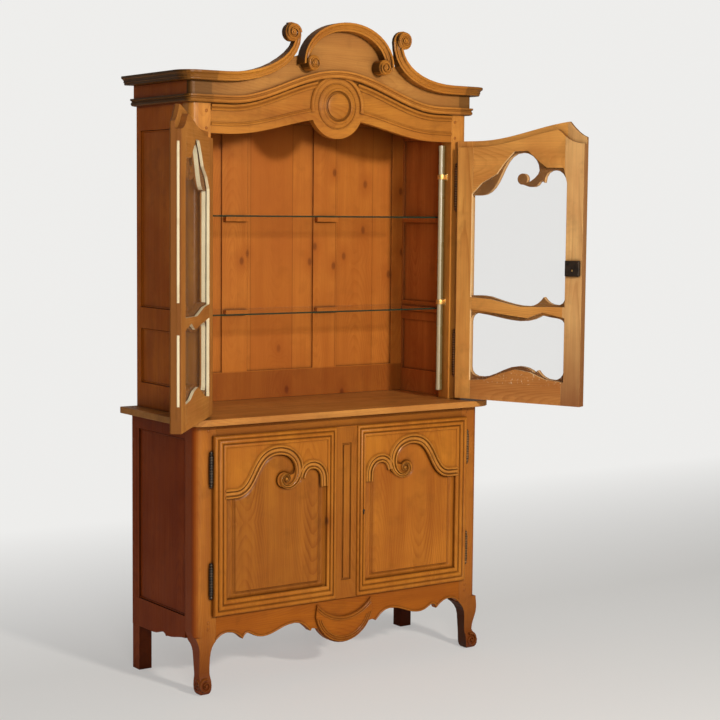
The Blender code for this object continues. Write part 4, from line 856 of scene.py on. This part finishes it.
APRON_BEAD = [(-0.0005, SUNK), (-0.001, 0.003), (-0.0035, 0.0045), (-0.0065, 0.003), (-0.0075, SUNK)]
LUNETTE_LINE = [(-0.0022, SUNK), (-0.0018, 0.002), (0.0, 0.003), (0.0018, 0.002), (0.0022, SUNK)]
SIDE_FIELD = [(0.0, -0.0005), (0.0005, 0.0004), (0.012, 0.0012), (0.040, 0.0026), (0.060, 0.0030)]
SIDE_BEAD = [(0.0, SUNK), (0.0005, 0.0028), (0.0030, 0.0042), (0.0058, 0.0030), (0.0065, SUNK)]
CLIP_RING = [(0.0125, -0.009), (0.0150, -0.009), (0.0155, -0.006), (0.0155, 0.006), (0.0150, 0.009),
             (0.0125, 0.009)]
CLIP_PLATE = [(0.0, -0.0005), (0.0004, 0.0016), (0.0016, 0.0022)]
KEYHOLE_ROUND = [(0.0042, -0.0005), (0.0040, 0.0052), (0.0020, 0.0056), (0.0004, 0.0056)]
KEYHOLE_SLOT = [(0.0, -0.0005), (0.0002, 0.0052), (0.0008, 0.0055)]
LOCK_STUD = [(0.0032, -0.0005), (0.0030, 0.0008), (0.0018, 0.0016), (0.0003, 0.0019)]
LOCK_PLATE = [(0.0, -0.0005), (0.0004, 0.0010), (0.0014, 0.0013)]
SLOT_FILL = [(0.0, -0.0030), (0.0, -0.0002), (0.0008, 0.0001)]
BATTEN = [(-0.008, SUNK), (-0.008, 0.016), (-0.006, 0.018), (0.006, 0.018), (0.008, 0.016), (0.008, SUNK)]


def raised(profile, first, last, height):
    """Profile of height shares at its full height, with its two sunk feet."""
    return [(first, SUNK)] + [(aside, share * height) for aside, share in profile] + [(last, SUNK)]


# ---------------------------------------------------------------- operators

class BUFFET_OT_timber(bpy.types.Operator):
    """Make the finishes and give every solid its own: grain follows each board's length."""

    bl_idname = "buffet.timber"
    bl_label = "Finish the solids"

    # Solids by their whole name, and the others by the first part of a name that fits.
    exact = {"base_top": "top", "base_floor": "inside", "base_back": "inside", "cabinet_roof": "inside",
             "cabinet_back": "boards", "front_rail": "frieze", "pediment": "pediment",
             "crown_moulding": "crown", "light_tube": "tube", "rim_lock": "iron", "base_apron": "apron",
             "cabinet_side_right": "side_in", "base_top_rail": "front_across",
             "low_door_left_false_stile": "post"}
    parts = (("left_panel", "panel_left"), ("right_panel", "panel_right"), ("_frame", "front"),
             ("door_left_hinge_s", "left_stile"), ("door_left_meeting", "left_stile"),
             ("door_right_hinge_s", "right_hinge"), ("door_right_meeting", "right_stile"), ("pane", "pane"),
             ("low_hinge_left", "barrel"), ("hinge", "bronze"), ("shelf", "shelf"), ("base_post", "leg"),
             ("cabinet_post", "cabinet_post"), ("base_side", "side_low"), ("side", "side"),
             ("cornice", "moulding"), ("crest", "moulding"), ("door_left", "left_rail"),
             ("door_right_bottom", "right_low"), ("door_right", "right_rail"))

    def execute(self, context):
        look = context.scene.buffet_finish
        for name, (colour, recipe) in self.recipes(look).items():
            FINISHES[name] = waxed_pine("pine_" + name, tuple(colour), **recipe)
        FINISHES["pane"] = clear_glass("pane_glass", look.glass, 0.06)
        FINISHES["shelf"] = clear_glass("shelf_glass", look.shelf, 0.08, look.shelf_edge)
        FINISHES["iron"] = forged_iron("iron_dark", look.iron)
        FINISHES["barrel"] = forged_iron("iron_barrels", tint(look.iron, 1.6), rings=105.0)
        FINISHES["bronze"] = forged_iron("iron_bronzed", look.bronze, rings=105.0)
        FINISHES["cream"] = bare_wood("bare_slips", look.cream)
        FINISHES["brass"] = forged_iron("brass_worn", look.brass, 0.34)
        FINISHES["tube"] = milk_tube("tube_white", look.tube, tint(look.brass, 0.30))
        for name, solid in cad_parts.items():
            made = finish(self.choose(name))
            for slot in solid.material_slots:
                slot.material = made
        return {"FINISHED"}

    @staticmethod
    def recipes(look):
        """Colour and settings of each pine finish."""
        # Painted shade for faces that look to the sides, in a dark tone of the mouldings.
        dusk = tint(look.mould, 0.12)
        turned_away = (0.92, 0.45, 0.85, dusk)
        panel = {"seed": 0.83, "board": 0.24}
        side = {"seed": 1.33, "board": 0.21, "face": "X"}
        left = {"turn": LEFT_SWING, "grime_and_shade": 0.5, "cut": 1.0, "contrast": 0.6}
        right = {"turn": RIGHT_SWING, "grime_and_shade": 0.8, "cut": 0.35}
        right_stile = dict(right, seed=0.21, tilt=0.02, contrast=1.1)
        return {
            "front": (look.doors, dict(knots=0.10)),
            "front_across": (look.pine, dict(grain="X", seed=0.31)),
            "panel_left": (tint(look.pine, 0.93), dict(panel, contrast=1.6)),
            "panel_right": (tint(look.pine, 1.16), dict(panel, contrast=1.7)),
            "post": (look.pine, dict(seed=1.7, contrast=0.8)),
            "moulding": (look.mould, dict(grain="X", seed=2.2, contrast=0.6, wax=0.16, side_shade=turned_away,
                                          ends=0.62)),
            "frieze": (look.frieze, dict(grain="X", seed=0.12, contrast=0.8)),
            "pediment": (look.pediment, dict(grain="X", seed=0.12, contrast=0.9, ends=0.70,
                                             side_shade=(0.85, 0.45, 0.85, dusk))),
            "apron": (look.apron, dict(grain="X", seed=0.31, contrast=0.9)),
            "crown": (look.crown, dict(grain="X", seed=1.12, contrast=0.6, wax=0.12, grime_and_shade=0.8, ends=0.50,
                                       side_shade=turned_away)),
            "top": (look.top, dict(grain="X", seed=0.57, contrast=0.9, wax=0.12)),
            # The sides darken upwards into the band under the cornice as painted shade.
            "side": (look.shaded, dict(side, blotch=0.85, wax=0.0, low=(TOP_Z + 1.092, TOP_Z + 1.080, 0.40))),
            "side_in": (look.inner, dict(side, local=True)),
            "side_low": (look.dark, dict(seed=1.9, face="X", blotch=0.75, hidden_shade=0.75, wax=0.0)),
            "leg": (look.legs, dict(seed=2.9, contrast=0.8, low=(0.02, 0.30, 0.92), wax=0.14, inward_shade=0.85,
                                    side_shade=(0.92, 0.30, 0.95, tuple(look.dark)))),
            "foot": (look.legs, dict(seed=2.9, contrast=0.6, grime_and_shade=1.15, low=(0.02, 0.30, 0.80), wax=0.30)),
            "carving": (look.mould, dict(seed=1.4, contrast=0.5, grime_and_shade=0.95, wax=0.35)),
            "cabinet_post": (look.lit_post, dict(seed=1.7, contrast=0.7, grime_and_shade=0.5, wax=0.20)),
            "boards": (look.boards, dict(seed=0.44, knots=0.55, wax=0.0, board=0.19, seams=True, local=True,
                                         low=(TOP_Z + 0.104, TOP_Z + 0.111, 0.66))),
            "inside": (look.shaded, dict(grain="X", seed=3.1, wax=0.0)),
            "left_stile": (look.left, dict(left, seed=0.4, tilt=0.02)),
            "left_rail": (look.left, dict(left, grain="X", seed=0.9)),
            "right_stile": (look.raw, dict(right_stile, low=(TOP_Z + 0.02, TOP_Z + 0.34, 0.78))),
            "right_hinge": (look.rails, right_stile),
            "right_rail": (look.rails, dict(right, grain="X", seed=0.9)),
            "right_low": (look.low_rail, dict(right, grain="X", seed=0.6,
                                              specks=(TOP_Z + 0.075, TOP_Z + 0.13))),
        }

    @classmethod
    def choose(cls, name):
        """Finish of a solid by its name."""
        if name in cls.exact:
            return cls.exact[name]
        for part, kind in cls.parts:
            if part in name:
                return kind
        raise RuntimeError("no finish for " + name)


class BUFFET_OT_frieze(bpy.types.Operator):
    """Carve the front rail: low bead, upper beads and the rings round the medallion."""

    bl_idname = "buffet.frieze"
    bl_label = "Frieze beads and medallion"

    def execute(self, context):
        lay = on_front(CABINET_Y)
        shapes = paired(swell(-0.5300, -0.1085, 80, TOP_Z + 1.020, 0.074), LOW_BEAD, lay)
        shapes += paired(swell(-0.5300, -0.0850, 90, TOP_Z + 1.0665, 0.1075), HIGH_BEADS, lay)
        make_piece("frieze_beads", shapes, finish("frieze"), "carcass")
        middle = (0.0, MEDAL_Z)
        shapes = [carried(round_stroke(middle, 0.1080, -12, 192, 90), MEDAL_EAR, lay),
                  ringed(middle, 0.0813, FINE_RING, lay, 72),
                  ringed(middle, 0.0598, MEDAL_RING, lay, 64),
                  spun(middle, MEDAL_BOSS, lay, 48)]
        make_piece("medallion_rings", shapes, finish("frieze"), "carcass")
        return {"FINISHED"}


class BUFFET_OT_base_doors(bpy.types.Operator):
    """Carve the base doors: beaded frame, scroll band with its volute, and the raised panel."""

    bl_idname = "buffet.base_doors"
    bl_label = "Base door carving"

    def execute(self, context):
        size = context.scene.buffet_mouldings
        lay = on_front(DOOR_FACE)
        band = raised(SCROLL_BAND, -0.50, 0.505, size.band_height)
        beads = raised(FRAME_BEADS, 0.012, 0.985, size.bead)
        hook, hook_width = hook_line(size.band)
        hump = second_hump()
        outline = door_sight()
        outer, inner = -DOOR_OUT, -DOOR_MEET
        hinge, meet = DOOR_OUT - SIGHT_OUT, SIGHT_MEET - DOOR_MEET
        for word, side in SIDES:
            body = word + "_base_door"
            if side > 0:
                hook, hump, outline = mirror(hook), mirror(hump), mirror(outline)
                hook_width = hook_width[::-1]
                outer, inner, hinge, meet = -inner, -outer, meet, hinge
            shapes = [carried(hook, band, lay, width=hook_width),
                      carried(hump, band, lay, width=np.full(len(hump), size.band * 0.92)),
                      spun((-side * SCROLL_EYE[0], SCROLL_EYE[1]), SCROLL_BOSS, lay, 24)]
            make_piece("door_scroll_" + word, shapes, finish("carving"), body)
            frame_beads = fielded((outer, inner, DOOR_LOW, DOOR_HIGH), beads, lay,
                                  (hinge, meet, SIGHT_LOW - DOOR_LOW, size.top_bead))
            make_piece("door_beads_" + word, [frame_beads], finish("front"), body)
            field = self.panel(outline, size)
            make_piece("door_field_" + word, [field], finish("panel_" + word), body, smooth=60)
        return {"FINISHED"}

    @staticmethod
    def panel(outline, size):
        """Raised panel: a border that slopes up from the straight sides, a groove and the field.

        The field's height also falls off close to the carved top, by the distance from the sight edge.
        """
        low, high = outline.min(0) - 0.002, outline.max(0) + 0.002
        across, up = np.meshgrid(np.linspace(low[0], high[0], 200), np.linspace(low[1], high[1], 262))
        gap, inside = edge_distance(np.stack([across.ravel(), up.ravel()], -1), outline)
        gap, inside = gap.reshape(across.shape), inside.reshape(across.shape)
        sides = np.minimum(SIGHT_OUT - np.abs(across), np.abs(across) - SIGHT_MEET)
        sides = np.minimum(sides * size.margin / size.side_margin, up - SIGHT_LOW)
        slope = np.clip(sides / size.margin, 0, 1)
        field = np.clip((sides - size.margin - 0.004) / 0.003, 0, 1)
        groove = np.clip(1.4 - np.abs(sides - size.margin - 0.002) / 0.0035, 0, 1)
        rise = np.maximum(0.80 * slope, field) - 0.80 * groove
        rise = np.minimum(rise, np.sqrt(np.clip(gap / 0.012, 0, 1)))
        height = np.where(inside, 0.0004 + size.field * np.maximum(rise, 0.0), 0.0003)
        return relief(across, up, height, on_front(PANEL_FACE), SUNK)


class BUFFET_OT_lunette(bpy.types.Operator):
    """Carve the apron: a bead along its lower edge and the lines of the lunette."""

    bl_idname = "buffet.lunette"
    bl_label = "Apron and lunette"

    def execute(self, context):
        edge = even(np.concatenate([
            cubic((0.5445, 0.190), (0.530, 0.204), (0.515, 0.211), (0.498, 0.211)),
            cubic((0.498, 0.211), (0.470, 0.211), (0.452, 0.196), (0.435, 0.180))[1:],
            cubic((0.435, 0.180), (0.430, 0.192), (0.424, 0.199), (0.414, 0.199), 8)[1:],
            cubic((0.414, 0.199), (0.400, 0.196), (0.385, 0.177), (0.350, 0.177))[1:],
            cubic((0.350, 0.177), (0.300, 0.177), (0.270, 0.208), (0.215, 0.208))[1:],
            cubic((0.215, 0.208), (0.185, 0.208), (0.168, 0.190), (0.148, 0.170))[1:],
        ]), 0.006)
        make_piece("apron_bead", paired(edge, APRON_BEAD, on_front(0.0)), finish("front_across"), "carcass")
        carved = on_front(-0.008)
        lower, upper = (0.0, 0.240), (0.0, 0.363)
        arcs = [(lower, radius, -14 - lean, -166 + lean, 60)
                for radius, lean in ((0.1245, 0), (0.1165, 3), (0.1085, 6))]
        arcs += [(upper, radius, -138 + lean, -42 - lean, 48) for radius, lean in ((0.160, 0), (0.168, 3))]
        shapes = [carried(round_stroke(*arc), LUNETTE_LINE, carved) for arc in arcs]
        make_piece("lunette_lines", shapes, finish("front_across"), "carcass")
        return {"FINISHED"}


class BUFFET_OT_volutes(bpy.types.Operator):
    """Carve the scrolls of the crest and of the feet."""

    bl_idname = "buffet.volutes"
    bl_label = "Scrolls of crest and feet"

    def execute(self, context):
        shapes = []
        for word, sign in SIDES:
            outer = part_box("cornice_" + word)[0].y
            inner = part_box("crest_arch")[0].y
            for front, reach, level, radius, hand in ((outer, 0.2455, 1.350, 0.0300, sign),
                                                      (inner, 0.157, 1.248, 0.0255, -sign)):
                face = on_front(front - FRONT_Y + 0.0055)
                eye = (CREST_SHIFT + sign * reach, TOP_Z + level)
                shapes += volute(eye, radius, face, -sign, 90 + hand * 90)
        make_piece("crest_volutes", shapes, finish("moulding"), "carcass")
        shapes, level = [], 0.0335
        for sign, middle, depth, toe, reach in ((-1, 0.594, -0.0090, 0.0100, 0.6130),
                                                (1, 0.603, -0.0070, 0.0145, BASE_HALF)):
            shapes += volute((sign * middle, level), 0.0250, on_front(depth), -sign, 90 + sign * 20,
                             1.6, 0.0085)
            shapes += volute((toe, level), 0.0205, on_side(sign, reach), 1, 70, 1.7, 0.0065)
        make_piece("foot_volutes", shapes, finish("foot"), "carcass")
        return {"FINISHED"}


class BUFFET_OT_side_panels(bpy.types.Operator):
    """Raised fields and beads in the sunk panels of the sides."""

    bl_idname = "buffet.side_panels"
    bl_label = "Side panels"

    def execute(self, context):
        cabinet = [(0.1723, 0.438, TOP_Z + low, TOP_Z + high)
                   for low, high in ((0.090, 0.290), (0.366, 1.005))]
        base = [(0.0763, 0.435, 0.272, 0.904)]
        for word, sign in SIDES:
            for name, limits, reach, kind in (("cabinet_fields_", cabinet, CABINET_PANEL, "side"),
                                              ("base_field_", base, BASE_PANEL, "side_low")):
                lay, shapes = on_side(sign, reach), []
                for left, right, low, high in limits:
                    square = [(left, low), (right, low), (right, high), (left, high)]
                    shapes.append(fielded((left, right, low, high), SIDE_FIELD, lay))
                    shapes.append(carried(square, SIDE_BEAD, lay, closed=True))
                make_piece(name + word, shapes, finish(kind), "carcass")
        return {"FINISHED"}


class BUFFET_OT_hardware(bpy.types.Operator):
    """Clips of the light tube, keyholes, studs of the lock, and slips in the glazed doors' meeting edges."""

    bl_idname = "buffet.hardware"
    bl_label = "Hardware"

    def execute(self, context):
        low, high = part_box("light_tube")
        middle = ((low.x + high.x) / 2 - MIDDLE_X, (low.y + high.y) / 2 - FRONT_Y)
        post = on_side(-1, MIDDLE_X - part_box("cabinet_post_right")[0].x)
        clips = []
        for level in (1.836, 1.355):
            clips.append(spun(middle, CLIP_RING, on_top(level), 20))
            clips.append(fielded((CABINET_Y + 0.022, CABINET_Y + 0.046, level - 0.013, level + 0.013),
                                 CLIP_PLATE, post))
        make_piece("tube_clips", clips, finish("brass"), "carcass")
        keyhole = [spun((0.0760, 0.598), KEYHOLE_ROUND, on_front(DOOR_FACE), 18),
                   fielded((0.0737, 0.0783, 0.5835, 0.598), KEYHOLE_SLOT, on_front(DOOR_FACE))]
        make_piece("base_keyhole", keyhole, finish("iron"), "right_base_door")
        inner = on_door(1, GLAZED_INNER, -1.0)
        studs = [spun((across, level), LOCK_STUD, inner, 16)
                 for across in (0.0145, 0.0565) for level in (1.478, 1.520)]
        make_piece("lock_studs", studs, finish("iron"), "right_glazed_door")
        plate = [fielded((0.032, 0.037, 1.488, 1.495), LOCK_PLATE, inner)]
        make_piece("lock_keyhole", plate, finish("brass"), "right_glazed_door")
        for word, sign in SIDES:
            self.slips(word, sign)
        return {"FINISHED"}

    @staticmethod
    def slips(word, sign):
        """Slips that close the pane slots in a meeting edge: thin bevelled strips on edge, and a fill."""
        place, body = on_door(sign, 0.0), word + "_glazed_door"

        def on_edge(across, up, height):
            return place(sign * (0.0011 - height), up, -across)

        near, far, bevel = 0.0728, 0.0810, 0.002
        out = np.array([0.0030, 0.0008, 0.0004])[:, None]
        inset = np.array([0.0, 0.0, 0.0006])[:, None] * np.array([1.0, 1.0, -1.0, -1.0])
        depth = np.array([near, near, far, far]) + inset
        strips = []
        for low, high in ((1.407, 1.918), (1.075, 1.304)):
            rise = np.array([[low, high, high, low], [low, high, high, low],
                             [low + bevel, high - bevel, high - bevel, low + bevel]])
            strips.append(skin(place(sign * out, rise, -depth)))
        fill = fielded((0.0690, 0.0800, 1.030, 1.955), SLOT_FILL, on_edge)
        make_piece("slot_fill_" + word, [fill], finish(word + "_stile"), body)
        bare = finish("cream" if sign < 0 else "right_stile")
        make_piece("pane_slips_" + word, strips, bare, body)


class BUFFET_OT_pegs(bpy.types.Operator):
    """Joint pegs: small round ends at the frame's joints, and the battens on the roof behind the cornice."""

    bl_idname = "buffet.pegs"
    bl_label = "Pegs and battens"

    def execute(self, context):
        radius = context.scene.buffet_mouldings.peg
        peg = [(radius, SUNK), (radius, 0.0006), (radius * 0.8, 0.0014), (radius * 0.1, 0.0018)]
        shapes = []
        for word, sign in SIDES:
            for reach, face, levels in ((0.548, CABINET_Y, (2.045, 1.985)),
                                        (0.576, 0.0, (0.934, 0.255, 0.232))):
                shapes += [spun((sign * reach, level), peg, on_front(face), 14) for level in levels]
        make_piece("joint_pegs", shapes, finish("leg"), "carcass")
        low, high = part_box("cabinet_side_left")
        end, front, rear = MIDDLE_X - low.x - 0.009, 0.150, high.y - FRONT_Y - 0.0005
        run = [(-end, rear), (-end, front), (end, front), (end, rear)]
        make_piece("crest_battens", [carried(run, BATTEN, on_top(high.z))], finish("inside"), "carcass")
        return {"FINISHED"}


class BUFFET_OT_glazed_doors(bpy.types.Operator):
    """Mould the outside of the glazed doors: beads round the frame and along the carved top."""

    bl_idname = "buffet.glazed_doors"
    bl_label = "Glazed door mouldings"

    def execute(self, context):
        beads = raised(GLAZED_BEADS, 0.0010, 0.024, context.scene.buffet_mouldings.bead * 0.7)
        hinge, clipped, meet, floor = -0.544, -0.072, -0.0012, 0.988
        top = swell(hinge, clipped, 60, EDGE_Z + 0.004, 0.070)
        drop = cubic((clipped, top[-1, 1]), (-0.047, EDGE_Z + 0.040), (-0.024, EDGE_Z + 0.020),
                     (meet, EDGE_Z + 0.012), 10)
        outline = np.concatenate([[(hinge, floor), (meet, floor)], drop[::-1], top[::-1][1:]])
        for word, sign in SIDES:
            path = outline if sign < 0 else mirror(outline)
            shape = carried(path, beads, on_door(sign, GLAZED_OUTER), closed=True)
            make_piece("glazed_beads_" + word, [shape], finish("front_across"), word + "_glazed_door")
        return {"FINISHED"}


class BUFFET_OT_stage(bpy.types.Operator):
    """Pale sweep of floor and backdrop, soft lamps, and the camera at the photograph's angle."""

    bl_idname = "buffet.stage"
    bl_label = "Stage"

    def execute(self, context):
        stage = context.scene.buffet_stage
        self.sweep(stage)
        self.lamps(stage)
        self.camera(stage)
        context.scene.view_settings.view_transform = "Standard"
        return {"FINISHED"}

    @staticmethod
    def sweep(stage):
        """Floor that rises into the backdrop in a quarter circle, carried across the room."""
        bend, far, near, tall, wide, under = 2.5, 3.6, -9.0, 7.0, 14.0, 0.0004
        angle = np.linspace(-math.pi / 2, 0, 17)
        y = np.concatenate([[near], far + bend * np.cos(angle), [far + bend]])
        z = np.concatenate([[0.0], bend + bend * np.sin(angle), [tall]])
        x = np.array([-wide, wide])
        grid = np.stack(np.broadcast_arrays(x[None, :], y[:, None], z[:, None] - under), -1)
        index = np.arange(grid.shape[0] * 2).reshape(-1, 2)
        faces = np.stack([index[:-1, 0], index[:-1, 1], index[1:, 1], index[1:, 0]], -1)
        mesh = bpy.data.meshes.new("studio_sweep")
        mesh.from_pydata(grid.reshape(-1, 3).tolist(), [], faces.tolist())
        mesh.shade_smooth()
        mesh.materials.append(plain_matt("studio_paper", stage.floor, stage.backdrop))
        sweep = bpy.data.objects.new("studio_sweep", mesh)
        bpy.context.scene.collection.objects.link(sweep)

    @staticmethod
    def lamps(stage):
        """Soft lamp in front, a wider and weaker one on the left, and an even sky."""
        world = bpy.data.worlds.new("studio_sky")
        world.use_nodes = True
        sky = world.node_tree.nodes["Background"]
        sky.inputs[0].default_value = (1.0, 0.98, 0.95, 1.0)
        sky.inputs[1].default_value = stage.sky
        bpy.context.scene.world = world
        aim = Vector((0.1, 0.0, 1.15))
        for name, place, size, power in (("key", (0.3, -5.2, 2.9), 0.5, stage.key),
                                         ("fill", (-3.0, -5.6, 2.3), 1.8, stage.fill)):
            lamp = bpy.data.lights.new(name + "_lamp", "AREA")
            lamp.shape = "DISK"
            lamp.size = size
            lamp.energy = power
            lamp.color = (1.0, 0.96, 0.90)
            holder = bpy.data.objects.new(name + "_lamp", lamp)
            holder.location = place
            holder.rotation_euler = (aim - Vector(place)).to_track_quat("-Z", "Y").to_euler()
            bpy.context.scene.collection.objects.link(holder)

    @staticmethod
    def camera(stage):
        """Camera whose axes come from yaw, pitch and roll about its line of sight."""
        level = math.cos(stage.pitch)
        ahead = Vector((math.sin(stage.yaw) * level, math.cos(stage.yaw) * level, -math.sin(stage.pitch)))
        right = ahead.cross(Vector((0, 0, 1))).normalized()
        up = right.cross(ahead)
        leaned = right * math.cos(stage.roll) + up * math.sin(stage.roll)
        raised_up = up * math.cos(stage.roll) - right * math.sin(stage.roll)
        turn = Matrix((leaned, raised_up, -ahead)).transposed().to_4x4()
        lens = bpy.data.cameras.new("camera")
        lens.lens = stage.lens
        lens.sensor_width = 36.0
        lens.sensor_fit = "HORIZONTAL"
        lens.clip_end = 60.0
        holder = bpy.data.objects.new("camera", lens)
        holder.matrix_world = Matrix.Translation(stage.place) @ turn
        bpy.context.scene.collection.objects.link(holder)
        bpy.context.scene.camera = holder


OPERATORS = (
    BUFFET_OT_timber,
    BUFFET_OT_frieze,
    BUFFET_OT_base_doors,
    BUFFET_OT_lunette,
    BUFFET_OT_volutes,
    BUFFET_OT_side_panels,
    BUFFET_OT_hardware,
    BUFFET_OT_pegs,
    BUFFET_OT_glazed_doors,
    BUFFET_OT_stage,
)


class BUFFET_PT_tools(bpy.types.Panel):
    """Settings and buttons for the buffet's pieces."""

    bl_idname = "BUFFET_PT_tools"
    bl_label = "Two-part buffet"
    bl_space_type = "VIEW_3D"
    bl_region_type = "UI"
    bl_category = "Buffet"

    def draw(self, context):
        scene = context.scene
        for group in (scene.buffet_finish, scene.buffet_mouldings, scene.buffet_stage):
            box = self.layout.box()
            for key in group.__annotations__:
                box.prop(group, key)
        for operator in OPERATORS:
            self.layout.operator(operator.bl_idname)


CLASSES = (BuffetFinish, BuffetMouldings, BuffetStage) + OPERATORS + (BUFFET_PT_tools,)


def register():
    """Register the classes and hang the settings on the scene."""
    for kind in CLASSES:
        bpy.utils.register_class(kind)
    bpy.types.Scene.buffet_finish = bpy.props.PointerProperty(type=BuffetFinish)
    bpy.types.Scene.buffet_mouldings = bpy.props.PointerProperty(type=BuffetMouldings)
    bpy.types.Scene.buffet_stage = bpy.props.PointerProperty(type=BuffetStage)


def unregister():
    """Take the settings and classes away again."""
    del bpy.types.Scene.buffet_stage
    del bpy.types.Scene.buffet_mouldings
    del bpy.types.Scene.buffet_finish
    for kind in reversed(CLASSES):
        bpy.utils.unregister_class(kind)


def main():
    """Register, and make every piece in order."""
    register()
    for operator in OPERATORS:
        group, name = operator.bl_idname.split(".")
        getattr(getattr(bpy.ops, group), name)()


if __name__ == "__main__":
    main()
